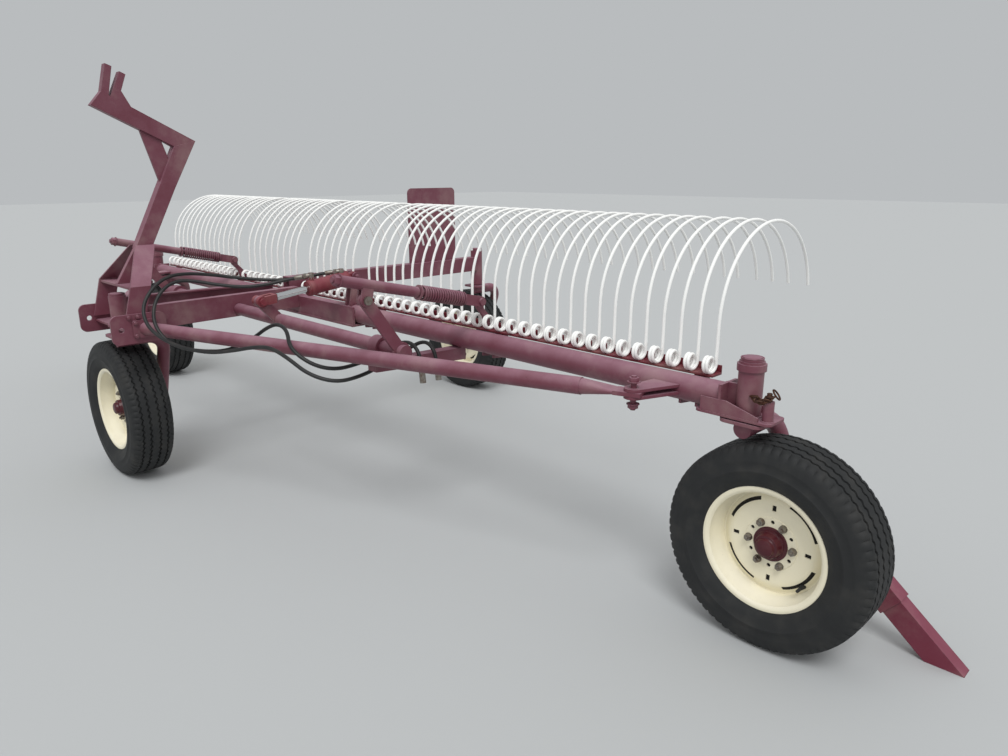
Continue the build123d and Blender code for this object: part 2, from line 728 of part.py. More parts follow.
# Lift rods: a rod held in a swivel block at the lever's tip, with its spring
lever_tip = Vector(
    0,
    rock_y + lever_reach * cos(radians(lever_angle)),
    rock_z + lever_reach * sin(radians(lever_angle)),
)
crank_pin = Vector(0, crank_pin_y, crank_pin_z)
pull = lever_tip - crank_pin
pull_long = sqrt(pull.length**2 - rod_rise**2)
rod_tilt = atan2(pull.Z, pull.Y) + atan2(rod_rise, pull_long)
rod_way = Vector(0, cos(rod_tilt), sin(rod_tilt))
rod_up = Vector(0, -sin(rod_tilt), cos(rod_tilt))
rod_plane_offset = lever_thick / 2 + side_gap
for rod_name, side in (("near", -1), ("far", 1)):
    rod_x = side * lever_x
    eye = Vector(rod_x, crank_pin_y, crank_pin_z)
    with BuildPart() as lift_rod:
        with BuildSketch(Plane(eye + rod_way * (fork_long - 6), z_dir=rod_way)):
            Circle(15)
        extrude(amount=spring_long + 40)
        with BuildSketch(Plane(eye + rod_way * (fork_long + spring_long + 8), z_dir=rod_way)):
            Circle(rod_outer / 2)
        extrude(amount=pull_long + rod_past - spring_long - fork_long - 8)
        with BuildSketch(Plane(eye + rod_way * 30, x_dir=(1, 0, 0), z_dir=rod_way)):
            with Locations((-(crank_thick / 2 + side_gap + 6), 0), (crank_thick / 2 + side_gap + 6, 0)):
                Rectangle(12, 44)
        extrude(amount=fork_long - 30)
        with BuildSketch(Plane(eye + rod_way * (fork_long - fork_bridge), x_dir=(1, 0, 0), z_dir=rod_way)):
            Rectangle(crank_thick + 2 * side_gap + 24, 44)
        extrude(amount=fork_bridge)
        for fork_side in (-1, 1):
            fork_x = rod_x + fork_side * (crank_thick / 2 + side_gap + 6)
            with BuildSketch(Plane.YZ.offset(fork_x - 6)):
                with Locations((crank_pin_y, crank_pin_z)):
                    Circle(22)
                with Locations((crank_pin_y + rod_way.Y * 20, crank_pin_z + rod_way.Z * 20)):
                    Rectangle(40, 44, rotation=degrees(rod_tilt))
            extrude(amount=12)
        for cheek_side in (-1, 1):
            cheek_x = rod_x + cheek_side * (rod_plane_offset + 5)
            with BuildSketch(Plane.YZ.offset(cheek_x - 5)):
                with Locations((lever_tip.Y, lever_tip.Z)):
                    Circle(24)
                with Locations(
                    (lever_tip.Y + rod_up.Y * rod_rise / 2, lever_tip.Z + rod_up.Z * rod_rise / 2)
                ):
                    Rectangle(48, rod_rise, rotation=degrees(rod_tilt))
            extrude(amount=10)
        with BuildSketch(Plane.YZ.offset(rod_x - 40)):
            with Locations((lever_tip.Y, lever_tip.Z)):
                Circle(pin_dia / 2 + pin_gap)
        extrude(amount=80, mode=Mode.SUBTRACT)
        for head_side in (-1, 1):
            with BuildSketch(Plane.YZ.offset(rod_x + head_side * (crank_thick / 2 + side_gap + 12))):
                with Locations((crank_pin_y, crank_pin_z)):
                    Circle(pin_head / 2)
            extrude(amount=head_side * pin_head_thick)
    save(lift_rod.part, f"lift_rod_{rod_name}")

# Lever pins: one through each lever's tip and its swivel block, headed at both ends
pin_half = rod_plane_offset + 10 + side_gap
with BuildPart() as lever_pins:
    for side in (-1, 1):
        with BuildSketch(Plane.YZ.offset(side * lever_x - pin_half)):
            with Locations((lever_tip.Y, lever_tip.Z)):
                Circle(pin_dia / 2)
        extrude(amount=2 * pin_half)
        for head_side in (-1, 1):
            with BuildSketch(Plane.YZ.offset(side * lever_x + head_side * pin_half)):
                with Locations((lever_tip.Y, lever_tip.Z)):
                    Circle(pin_head / 2)
            extrude(amount=head_side * pin_head_thick)
save(lever_pins.part, "lever_pins")

# Hinge lugs: plates under the back of the pipe with the hinge pins
hinge_end = bar_end - 130
hinge_rows = (-hinge_end, -1185.0, -330.0, 620.0, 1185.0, hinge_end)
lug_half = 26.0
with BuildPart() as hinge_lugs:
    for lug_x in hinge_rows:
        for lug_side in (-1, 1):
            with BuildSketch(Plane.YZ.offset(lug_x + lug_side * (lug_half + 5) - 5)):
                with BuildLine():
                    Polyline(
                        (-38, bar_z - 22),
                        (hinge_y - 14, hinge_z + 10),
                        (hinge_y - 14, hinge_z - 12),
                        (hinge_y + 10, hinge_z - 16),
                        (10, bar_z - bar_radius - 12),
                        (10, bar_z - bar_radius + 2),
                        close=True,
                    )
                make_face()
                with Locations((0, bar_z)):
                    Circle(bar_radius + seat_gap, mode=Mode.SUBTRACT)
            extrude(amount=10)
        with BuildSketch(Plane.YZ.offset(lug_x - lug_half - 16)):
            with Locations((hinge_y, hinge_z)):
                Circle(10)
        extrude(amount=2 * lug_half + 32)
save(hinge_lugs.part, "hinge_lugs")

# Tine bars: a strip with hinge arms and a row of spring tines, one each side of
# the tail beam. Columns: name, inner end, outer end
leg_y = coil_y - (coil_outer - tine_wire) / 2
arc_radius = leg_y - arc_y
coil_z = strip_top + coil_outer / 2 - 1
beam_gap = tail_wide / 2 + 22
tine_end = bar_end - tine_inset
tine_bars = (
    ("near", -tine_end, hitch_x - beam_gap, hinge_rows[:3]),
    ("far", hitch_x + beam_gap, tine_end, hinge_rows[3:]),
)
for bar_name, strip_start, strip_end, arm_places in tine_bars:
    with BuildPart() as tine_bar:
        with BuildSketch(Plane.YZ.offset(strip_start)):
            with Locations(((strip_front + strip_back) / 2, strip_top - strip_thick / 2)):
                Rectangle(strip_front - strip_back, strip_thick)
        extrude(amount=strip_end - strip_start)
        for arm_x in arm_places:
            with BuildSketch(Plane.YZ.offset(arm_x - lug_half + side_gap)):
                with Locations((hinge_y - 7, (hinge_z + strip_top - 1) / 2)):
                    Rectangle(22, strip_top - 1 - hinge_z)
                with Locations((hinge_y, hinge_z)):
                    Circle(hinge_outer / 2)
                    Circle(10 + pin_gap, mode=Mode.SUBTRACT)
            extrude(amount=2 * (lug_half - side_gap))
        tine_count = int((strip_end - strip_start - coil_wide - 10) / tine_pitch) + 1
        first_tine = strip_start + 5
        for number in range(tine_count):
            tine_x = first_tine + number * tine_pitch
            beside = (tine_x + coil_wide / 2 - place for place in (cylinder_x, -lever_x, lever_x))
            gaps_needed = (38, 22, 22)
            if any(abs(away) < need for away, need in zip(beside, gaps_needed)):
                continue
            with BuildSketch(Plane.YZ.offset(tine_x)):
                with BuildLine():
                    inner = CenterArc((arc_y, arc_z), arc_radius - tine_wire / 2, 0, arc_turn)
                    outer = CenterArc((arc_y, arc_z), arc_radius + tine_wire / 2, 0, arc_turn)
                    Line(inner @ 1, outer @ 1)
                    Polyline(
                        inner @ 0,
                        (leg_y - tine_wire / 2, coil_z),
                        (leg_y + tine_wire / 2, coil_z),
                        outer @ 0,
                    )
                make_face()
            extrude(amount=tine_wire)
            with BuildSketch(Plane.YZ.offset(tine_x)):
                with Locations((coil_y, coil_z)):
                    Circle(coil_outer / 2)
                    Circle(coil_outer / 2 - tine_wire, mode=Mode.SUBTRACT)
            extrude(amount=coil_wide)
    save(tine_bar.part, f"tine_bar_{bar_name}")

# Cranks: S-shaped arms from the strips up to the lift rods
for crank_name, side in (("near", -1), ("far", 1)):
    with BuildPart() as crank:
        with BuildSketch(Plane.YZ.offset(side * lever_x - crank_thick / 2)):
            with BuildLine():
                Polyline(
                    (-40, strip_top + seat_gap),
                    (-78, strip_top + seat_gap),
                    (-60, 900),
                    (-24, 938),
                    (-23, 970),
                    (23, 970),
                    (12, 942),
                    (-22, 905),
                    close=True,
                )
            make_face()
            with Locations((crank_pin_y, crank_pin_z)):
                Circle(crank_wide / 2)
        extrude(amount=crank_thick)
    save(crank.part, f"crank_{crank_name}")

# Springs on the lift rods
for spring_name, side in (("near", -1), ("far", 1)):
    eye = Vector(side * lever_x, crank_pin_y, crank_pin_z)
    with BuildPart() as spring:
        with BuildSketch(Plane(eye + rod_way * (fork_long + 3), z_dir=rod_way)):
            Circle(spring_outer / 2)
            Circle(15 + pin_gap, mode=Mode.SUBTRACT)
        extrude(amount=spring_long)
    save(spring.part, f"spring_{spring_name}")

# Transport tongue: a square sleeve hinged beside the near castor's leg, with the bar it holds
sleeve_end = pivot + tongue_way * tongue_sleeve
with BuildPart() as tongue:
    with BuildSketch(Plane.XZ.offset(tongue_side + tongue_wall)):
        with BuildLine():
            Polyline((upper.X, upper.Y), (upper_tip.X, 0), (lower_tip.X, 0), (lower.X, lower.Y), close=True)
        make_face()
    extrude(amount=tongue_bar_wide)
    with BuildSketch(Plane.XZ.offset(tongue_side)):
        with BuildLine():
            Polyline(
                tuple(pivot + tongue_up * tongue_high / 2)[:2],
                tuple(sleeve_end + tongue_up * tongue_high / 2)[:2],
                tuple(sleeve_end - tongue_up * tongue_high / 2)[:2],
                tuple(pivot - tongue_up * tongue_high / 2)[:2],
                close=True,
            )
        make_face()
        with Locations((pivot.X, pivot.Y)):
            Circle(tongue_high / 2)
    extrude(amount=tongue_wide)
    with BuildSketch(Plane.XZ.offset(tongue_side)):
        with Locations((pivot.X, pivot.Y)):
            Circle(pin_dia / 2 + pin_gap)
    extrude(amount=tongue_wide, mode=Mode.SUBTRACT)
save(tongue.part, "tongue")

# Tongue pin: carried by a lug on the near castor's leg
with BuildPart() as tongue_pin:
    with BuildSketch(Plane.XZ.offset(leg_reach + leg_outer / 2 + seat_gap)):
        with Locations((tongue_pin_x, tongue_pin_z)):
            Circle(pin_dia / 2)
    extrude(amount=tongue_wide + 50)
save(tongue_pin.part, "tongue_pin")

# Hoses: from the cylinder's two ports to the mast leg, down beside it and along the near
# brace to the near outrigger, where their couplers hang. Points are x, y and height.
gland_route = (
    (-160, 262, 1008), (-128, 312, 999), (-78, 395, 977), (-18, 492, 966), (45, 596, 982),
    (98, 688, 1008), (126, 772, 1014), (128, 855, 975), (100, 912, 898), (40, 925, 815),
    (-65, 870, 745), (-190, 795, 732), (-300, 728, 742), (-375, 648, 795), (-450, 618, 850),
    (-540, 612, 880), (-640, 625, 868), (-730, 670, 812), (-815, 625, 752), (-860, 545, 725),
    (-880, 440, 738), (-893, 350, 762), (-918, 290, 798), (-965, 268, 815), (-1015, 264, 808),
    (-1050, 262, 765), (-1056, 262, 715),
)
butt_route = (
    (-158, 92, 1014), (-128, 140, 1008), (-80, 218, 990), (-20, 312, 982), (42, 410, 990),
    (92, 505, 1008), (124, 600, 1028), (138, 700, 1044), (142, 795, 1044), (140, 878, 1005),
    (112, 950, 925), (45, 963, 842), (-65, 925, 782), (-190, 868, 756), (-320, 815, 750),
    (-450, 775, 775), (-550, 738, 800), (-645, 712, 812), (-745, 695, 785), (-850, 662, 725),
    (-930, 590, 695), (-935, 480, 700), (-925, 370, 722), (-915, 280, 742), (-928, 215, 778),
    (-968, 186, 803), (-1015, 182, 800), (-1050, 181, 760), (-1056, 180, 712),
)
for hose_name, route in (("gland", gland_route), ("butt", butt_route)):
    places = [Vector(*point) for point in route]
    radii = []
    for before, here, after in zip(places, places[1:], places[2:]):
        turn = radians((here - before).get_angle(after - here))
        shorter = min((here - before).length, (after - here).length)
        radii.append(0.45 * shorter / tan(turn / 2))
    print("hose", hose_name, "arc radii", [round(radius) for radius in radii])
    with BuildPart() as hose:
        with BuildLine():
            hose_path = FilletPolyline(*places, radius=radii)
        with BuildSketch(Plane(hose_path @ 0, z_dir=hose_path % 0)):
            Circle(hose_outer / 2)
        sweep()
    print("length", hose_path.length, "volume", hose.part.volume, pi * hose_outer**2 / 4 * hose_path.length)
    save(hose.part, f"hose_{hose_name}")
    with BuildPart() as coupler:
        with BuildSketch(Plane(hose_path @ 1, z_dir=hose_path % 1)):
            Circle(coupler_outer / 2)
        extrude(amount=coupler_long)
    save(coupler.part, f"coupler_{hose_name}")
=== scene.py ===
"""A towed windrow rake, dressed for its studio picture round its packed construction model."""
import logging
from dataclasses import dataclass, field
from enum import Enum
from math import atan2, cos, pi, radians, sin, sqrt, tau
from typing import Iterable, NamedTuple, Sequence

import bmesh
import bpy
from bmesh.types import BMEdge, BMesh, BMVert
from bpy.types import Material, NodeSocket, NodeTree, Object
from mathutils import Matrix, Vector, noise


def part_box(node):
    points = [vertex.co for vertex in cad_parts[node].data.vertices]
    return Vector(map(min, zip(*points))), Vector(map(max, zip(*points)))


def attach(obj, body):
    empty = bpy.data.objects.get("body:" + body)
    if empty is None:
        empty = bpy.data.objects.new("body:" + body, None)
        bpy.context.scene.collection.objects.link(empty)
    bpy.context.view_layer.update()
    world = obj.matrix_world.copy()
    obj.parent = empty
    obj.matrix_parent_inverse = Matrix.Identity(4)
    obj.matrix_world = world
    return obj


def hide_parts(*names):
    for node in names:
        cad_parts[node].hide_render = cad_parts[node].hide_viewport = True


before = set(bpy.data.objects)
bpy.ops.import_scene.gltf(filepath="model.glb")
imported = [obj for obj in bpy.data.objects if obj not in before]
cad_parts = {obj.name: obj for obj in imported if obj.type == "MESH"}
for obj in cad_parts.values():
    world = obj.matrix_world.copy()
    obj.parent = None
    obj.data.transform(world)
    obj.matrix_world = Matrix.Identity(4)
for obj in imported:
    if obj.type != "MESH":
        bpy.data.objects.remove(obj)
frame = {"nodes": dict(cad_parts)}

LOG = logging.getLogger("windrow_rake")
SHARP_ANGLE = radians(34)
# A hexagon's radius to its corners, for each metre across its flats
HEX_CORNER = 0.577
X_AXIS = Vector((1, 0, 0))
Y_AXIS = Vector((0, 1, 0))
Z_AXIS = Vector((0, 0, 1))
Pairs = tuple[tuple[float, float], ...]
Spot = tuple[float, float, float]


class Slot(Enum):
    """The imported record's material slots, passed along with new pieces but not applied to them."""

    FRAME = "frame_paint"
    CYLINDER = "cylinder_paint"
    RIM = "rim_paint"
    TYRE = "tyre_rubber"
    TINE = "tine_paint"
    BOLT = "zinc_bolt"
    HOSE = "hose_rubber"


class Side(Enum):
    """The two ends of the toolbar, each with its sign along X."""

    NEAR = -1
    FAR = 1

    @property
    def label(self) -> str:
        """Give the side's name as nodes and pieces carry it."""
        return self.name.lower()


def linear(code: str) -> tuple[float, float, float, float]:
    """Turn an sRGB hex colour into linear light.

    Args:
        code: A colour such as "#74303E".

    Returns:
        Red, green, blue and alpha, each from 0 to 1.
    """
    parts = [int(code[place:place + 2], 16) / 255 for place in (1, 3, 5)]
    light = [part / 12.92 if part <= 0.04045 else ((part + 0.055) / 1.055) ** 2.4 for part in parts]
    return (*light, 1.0)


def add_node(
    tree: NodeTree, kind: str, settings: dict | None = None, links: dict | None = None, output: int | str = 0
) -> NodeSocket | None:
    """Add one shader node with its settings and its incoming links.

    Args:
        tree: The material's or world's node tree.
        kind: The node's type, without the "ShaderNode" that each begins with.
        settings: Attributes by name, or input values by input name or number.
        links: Output sockets, each by the name or number of the input it feeds.
        output: The name or number of the output that is wanted.

    Returns:
        That output, or None for a node at the end of its tree.
    """
    node = tree.nodes.new(f"ShaderNode{kind}")
    for key, value in (settings or {}).items():
        if isinstance(key, str) and hasattr(node, key):
            setattr(node, key, value)
        else:
            node.inputs[key].default_value = value
    for key, source in (links or {}).items():
        tree.links.new(source, node.inputs[key])
    return node.outputs[output] if node.outputs else None


@dataclass(frozen=True)
class Finish:
    """A finish by its name. Each kind of surface below adds how it is shaded."""

    name: str

    def shade(self, tree: NodeTree) -> NodeSocket:
        """Add the surface's own nodes to a tree and give its shader."""
        raise NotImplementedError

    def build(self) -> Material:
        """Build the material.

        Returns:
            The finished material.
        """
        material = bpy.data.materials.new(self.name)
        material.use_nodes = True
        tree = material.node_tree
        tree.nodes.clear()
        add_node(tree, "OutputMaterial", links={0: self.shade(tree)})
        return material


@dataclass(frozen=True)
class Enamel(Finish):
    """Brushed or sprayed machine enamel, paler on its upper faces from chalk and from painted top light.

    Alkyd enamel over steel: a soft gloss below, a paler tone above that is partly chalk and partly
    painted top light, dust that lies in patches, and bare primer where edges and corners get knocked.
    """

    colour: str
    faded: str
    chip: str = "#4A3230"
    dust: str = "#9A8C7C"
    fade: float = 0.85
    wear: float = 0.8
    dust_share: float = 0.28
    mottle_share: float = 0.30
    roughness: float = 0.46
    chalk_roughness: float = 0.78
    edge_mm: float = 3.0
    mottle_mm: float = 180.0
    # Chips are drawn coarser than the real millimetre or two, so that they show
    speck_mm: float = 7.0

    def shade(self, tree: NodeTree) -> NodeSocket:
        """Mix the paint, its chalk with painted top light, its dust and its wear.

        Args:
            tree: The material's tree.

        Returns:
            The enamel's shader.
        """
        place = add_node(tree, "TexCoord", output="Object")
        facing = add_node(tree, "NewGeometry", output="Normal")
        height = add_node(tree, "SeparateXYZ", links={0: facing}, output="Z")
        cloud = {"Scale": 1000 / self.mottle_mm, "Detail": 6.0, "Roughness": 0.62}
        mottle = add_node(tree, "TexNoise", cloud, {"Vector": place})
        grain = {"Scale": 1000 / self.speck_mm, "Detail": 3.0, "Roughness": 0.6}
        speck = add_node(tree, "TexNoise", grain, {"Vector": place})
        # The paint pales in soft patches, and most on faces that look up, partly as chalk and partly as
        # painted top light
        shift = {"From Min": 0.3, "From Max": 0.7, "To Max": self.mottle_share}
        mottled = add_node(tree, "MapRange", shift, {0: mottle})
        colours = {"data_type": "RGBA", 6: linear(self.colour), 7: linear(self.faded)}
        dull = add_node(tree, "Mix", colours, {0: mottled}, output=2)
        upper = {"From Min": 0.05, "From Max": 0.9, "To Max": self.fade}
        above = add_node(tree, "MapRange", upper, {0: height})
        patches = {"From Min": 0.32, "From Max": 0.68, "To Min": 0.45, "To Max": 1.15}
        patchy = add_node(tree, "MapRange", patches, {0: mottle})
        chalk_and_top_light = add_node(tree, "Math", {"operation": "MULTIPLY", "use_clamp": True}, {0: above, 1: patchy})
        pale = {"data_type": "RGBA", 7: linear(self.faded)}
        chalked_and_top_lit = add_node(tree, "Mix", pale, {0: chalk_and_top_light, 6: dull}, output=2)
        # Dust lies over the chalk in patches of the same size
        cover = {"From Min": 0.5, "From Max": 0.75, "To Max": self.dust_share}
        dirt = add_node(tree, "MapRange", cover, {0: mottle})
        soil = {"data_type": "RGBA", 7: linear(self.dust)}
        dusty = add_node(tree, "Mix", soil, {0: dirt, 6: chalked_and_top_lit}, output=2)
        # Edges are knocked down to the primer, and chips stand in the open paint
        bevel = add_node(tree, "Bevel", {"samples": 4, "Radius": self.edge_mm / 1000})
        normals = {0: bevel, 1: facing}
        bend = add_node(tree, "VectorMath", {"operation": "DOT_PRODUCT"}, normals, output="Value")
        round_over = {"From Min": 0.93, "From Max": 0.995, "To Min": 1.0, "To Max": 0.0}
        edge = add_node(tree, "MapRange", round_over, {0: bend})
        knocks, chips = (
            add_node(tree, "MapRange", {"From Min": low, "From Max": high, "To Max": self.wear}, {0: speck})
            for low, high in ((0.5, 0.6), (0.71, 0.74))
        )
        bare = add_node(tree, "Math", {"operation": "MULTIPLY", "use_clamp": True}, {0: edge, 1: knocks})
        worn = add_node(tree, "Math", {"operation": "MAXIMUM", "use_clamp": True}, {0: bare, 1: chips})
        primer = {"data_type": "RGBA", 7: linear(self.chip)}
        colour = add_node(tree, "Mix", primer, {0: worn, 6: dusty}, output=2)
        flat = {"To Min": self.roughness, "To Max": self.chalk_roughness}
        gloss = add_node(tree, "MapRange", flat, {0: chalk_and_top_light})
        relief = {"Strength": 0.14, "Distance": 0.0015}
        bump = add_node(tree, "Bump", relief, {"Height": speck, "Normal": bevel})
        surface = {"Base Color": colour, "Roughness": gloss, "Normal": bump}
        return add_node(tree, "BsdfPrincipled", {"IOR": 1.48}, surface)


@dataclass(frozen=True)
class BareMetal(Finish):
    """Zinc plate or bare chain steel gone dull: a soft metal glint, browner and flatter in spots."""

    colour: str
    stain: str
    roughness: float
    stain_share: float
    stain_roughness: float = 0.25
    # Rust is drawn in spots coarser than its real grain, so that it shows on a bolt
    grain_mm: float = 12.0

    def shade(self, tree: NodeTree) -> NodeSocket:
        """Stain the metal in spots.

        Args:
            tree: The material's tree.

        Returns:
            The metal's shader.
        """
        place = add_node(tree, "TexCoord", output="Object")
        grain = add_node(tree, "TexNoise", {"Scale": 1000 / self.grain_mm, "Detail": 5.0}, {"Vector": place})
        spots = {"From Min": 0.45, "From Max": 0.7, "To Max": self.stain_share}
        share = add_node(tree, "MapRange", spots, {0: grain})
        colours = {"data_type": "RGBA", 6: linear(self.colour), 7: linear(self.stain)}
        colour = add_node(tree, "Mix", colours, {0: share}, output=2)
        flat = {"To Min": self.roughness, "To Max": self.roughness + self.stain_roughness}
        gloss = add_node(tree, "MapRange", flat, {0: grain})
        surface = {"Base Color": colour, "Roughness": gloss}
        return add_node(tree, "BsdfPrincipled", {"Metallic": 1.0}, surface)


@dataclass(frozen=True)
class PlatedRod(Finish):
    """Hard chrome on a turned rod, mirror-bright, with the clevis at its end in red enamel."""

    paint: Enamel
    chrome: str = "#DADBDC"
    roughness: float = 0.11
    # Where the chrome ends and the clevis starts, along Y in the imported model's frame
    seam_y: float = 0.716
    seam_wide: float = 0.002

    def shade(self, tree: NodeTree) -> NodeSocket:
        """Plate the rod behind the seam and paint it in front.

        Args:
            tree: The material's tree.

        Returns:
            The rod's shader.
        """
        place = add_node(tree, "TexCoord", output="Object")
        forward = add_node(tree, "SeparateXYZ", links={0: place}, output="Y")
        seam = {"From Min": self.seam_y, "From Max": self.seam_y + self.seam_wide}
        share = add_node(tree, "MapRange", seam, {0: forward})
        plating = {"Metallic": 1.0, "Base Color": linear(self.chrome), "Roughness": self.roughness}
        plate = add_node(tree, "BsdfPrincipled", plating)
        return add_node(tree, "MixShader", links={0: share, 1: plate, 2: self.paint.shade(tree)})


@dataclass(frozen=True)
class Rubber(Finish):
    """Moulded black rubber: a dull sheen, greyed in patches by weather and dusted with soil."""

    colour: str
    weathered: str
    dust: str
    dust_share: float
    roughness: float = 0.72
    patch_mm: float = 70.0
    # Grit is drawn coarser than the real half millimetre, so that it shows
    grit_mm: float = 3.0

    def shade(self, tree: NodeTree) -> NodeSocket:
        """Mix the rubber, its greyed patches and its dust.

        Args:
            tree: The material's tree.

        Returns:
            The rubber's shader.
        """
        place = add_node(tree, "TexCoord", output="Object")
        patches, grit = (
            add_node(tree, "TexNoise", {"Scale": 1000 / size, "Detail": detail}, {"Vector": place})
            for size, detail in ((self.patch_mm, 6.0), (self.grit_mm, 2.0))
        )
        colours = {"data_type": "RGBA", 6: linear(self.colour), 7: linear(self.weathered)}
        grey = add_node(tree, "Mix", colours, {0: patches}, output=2)
        cover = {"From Min": 0.48, "From Max": 0.78, "To Max": self.dust_share}
        share = add_node(tree, "MapRange", cover, {0: patches})
        soil = {"data_type": "RGBA", 7: linear(self.dust)}
        colour = add_node(tree, "Mix", soil, {0: share, 6: grey}, output=2)
        bump = add_node(tree, "Bump", {"Strength": 0.2, "Distance": 0.001}, {"Height": grit})
        surface = {"Base Color": colour, "Normal": bump}
        return add_node(tree, "BsdfPrincipled", {"Roughness": self.roughness, "IOR": 1.52}, surface)


@dataclass(frozen=True)
class Paper(Finish):
    """Matt backdrop paper, without gloss, so that the floor shows only soft shadows."""

    colour: str
    roughness: float = 0.95

    def shade(self, tree: NodeTree) -> NodeSocket:
        """Colour the paper evenly."""
        surface = {"Base Color": linear(self.colour), "Roughness": self.roughness}
        return add_node(tree, "BsdfPrincipled", surface)


@dataclass
class Finishes:
    """Every finish on the rake, built once."""

    # Maroon enamel, a dusty pink above that is partly chalk and partly painted top light
    frame: Material = field(default_factory=Enamel("frame_enamel_maroon", "#672E3C", "#97707F").build)
    # Fresher and redder paint, less pale above
    tongue: Material = field(
        default_factory=Enamel("tongue_enamel_red", "#6E2135", "#8C5062", fade=0.6).build
    )
    cylinder: Material = field(
        default_factory=Enamel("cylinder_enamel_red", "#6E202B", "#8E4A55", fade=0.6, wear=0.5).build
    )
    strip: Material = field(
        default_factory=Enamel("strip_enamel_dark_red", "#611521", "#7E3A45", fade=0.5, wear=0.4).build
    )
    # Glossy white on spring wire, with small warm chips
    tine: Material = field(default_factory=Enamel(
        "tine_enamel_white", "#F0F1EF", "#F8F9F7", chip="#8A7C70", dust="#C9C4BA", wear=0.3,
        dust_share=0.10, roughness=0.36, edge_mm=1.0, speck_mm=12.0,
    ).build)
    # Glossy cream on pressed steel, with some soil in it
    rim: Material = field(default_factory=Enamel(
        "rim_enamel_cream", "#E9E2C8", "#F0EBD8", chip="#8A7860", dust="#A8977C", wear=0.4,
        dust_share=0.22, roughness=0.36, edge_mm=1.5,
    ).build)
    # Deep red with a good gloss, since the dished disc shelters it
    hub: Material = field(default_factory=Enamel(
        "hub_enamel_deep_red", "#430D18", "#5A1B28", fade=0.3, wear=0.4, dust_share=0.1, roughness=0.3
    ).build)
    # Painted shade: the dark that shows behind the disc's holes and in the crescent gaps by the rim
    shade: Material = field(
        default_factory=Rubber("hole_painted_shade", "#0C0B0A", "#15120F", "#2A241E", 0.2, 0.9).build
    )
    chrome: Material = field(
        default_factory=PlatedRod("rod_hard_chrome", Enamel("clevis_enamel_red", "#6E202B", "#8E4A55")).build
    )
    # Grey plate with a little brown in it
    zinc: Material = field(
        default_factory=BareMetal("bolt_zinc_dull", "#9A958D", "#6B4A38", 0.42, 0.6).build
    )
    # Bare steel that is brown nearly all over
    rust: Material = field(
        default_factory=BareMetal("chain_steel_rusty", "#6A5146", "#5A3526", 0.55, 0.9).build
    )
    tyre: Material = field(
        default_factory=Rubber("tyre_rubber_weathered", "#151617", "#232526", "#5C554B", 0.13).build
    )
    # Smoother and shinier than the tyres
    hose: Material = field(
        default_factory=Rubber("hose_rubber_black", "#111112", "#222223", "#5E564B", 0.16, 0.5).build
    )


@dataclass
class Layout:
    """Places that the whole machine shares, in metres from the toolbar's middle."""

    middle: Vector
    king_x: float = 2.36
    hitch_x: float = 0.4
    hitch_y: float = 0.930
    tail_y: float = -1.392
    bar_z: float = 0.8
    cylinder_x: float = -0.18
    cylinder_pin: tuple[float, float] = (-0.015, 0.985)
    clevis_pin: tuple[float, float] = (0.50207, 0.91873)
    lever_x: float = 1.12
    lever_tip: tuple[float, float] = (0.56834, 1.04116)
    crank_pin: tuple[float, float] = (0.0, 0.970)
    rod_rise: float = 0.056

    @classmethod
    def from_frame(cls) -> "Layout":
        """Read the toolbar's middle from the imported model."""
        low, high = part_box("toolbar")
        return cls(middle=Vector(((low.x + high.x) / 2, (low.y + high.y) / 2, 0)))

    def at(self, x: float, y: float, z: float) -> Vector:
        """Give a layout place in the model's own frame."""
        return self.middle + Vector((x, y, z))

    def rod_way(self) -> Vector:
        """Find how the lift rods run from the crank pin, forward and up.

        Returns:
            Their direction, one metre long.
        """
        reach = Vector((self.lever_tip[0] - self.crank_pin[0], self.lever_tip[1] - self.crank_pin[1]))
        along = sqrt(reach.length_squared - self.rod_rise**2)
        tilt = atan2(reach.y, reach.x) + atan2(self.rod_rise, along)
        return Vector((0, cos(tilt), sin(tilt)))


def turned_to(axis: Vector, place: Vector) -> Matrix:
    """Give the matrix that stands a shape made along Z on an axis.

    Args:
        axis: The direction that the shape's Z takes.
        place: Where the shape's origin goes.

    Returns:
        The placing matrix.
    """
    return Matrix.Translation(place) @ axis.normalized().to_track_quat("Z", "Y").to_matrix().to_4x4()


def add_object(name: str, data: bpy.types.ID) -> Object:
    """Put new data into the scene as an object at the origin.

    Args:
        name: The object's name.
        data: Its mesh, curve, light or camera.

    Returns:
        The new object.
    """
    made = bpy.data.objects.new(name, data)
    bpy.context.scene.collection.objects.link(made)
    return made


def add_piece(
    mesh: BMesh, name: str, material: Material, body: str, replaces: Sequence[str] = ()
) -> Object:
    """Turn a bmesh into a finished piece that rides on a body.

    Args:
        mesh: The shape, in the model's frame, used up here.
        name: The piece's name.
        material: Its finish.
        body: The body that it moves with.
        replaces: Nodes that it stands for.

    Returns:
        The new object.
    """
    bmesh.ops.recalc_face_normals(mesh, faces=mesh.faces)
    for face in mesh.faces:
        face.smooth = True
    data = bpy.data.meshes.new(name)
    mesh.to_mesh(data)
    mesh.free()
    data.set_sharp_from_angle(angle=SHARP_ANGLE)
    data.materials.append(material)
    piece = add_object(name, data)
    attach(piece, body)
    if replaces:
        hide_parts(*replaces)
    LOG.info("%s: %d faces on %s", name, len(data.polygons), body)
    return piece


def edges_of(verts: Iterable[BMVert]) -> list[BMEdge]:
    """Give the edges that meet some vertices, each once."""
    return list({edge: None for vertex in verts for edge in vertex.link_edges})


def verts_in(items: Iterable[BMVert | BMEdge]) -> list[BMVert]:
    """Pick the vertices out of a mixed list, such as the one an operator gives back."""
    return [item for item in items if isinstance(item, BMVert)]


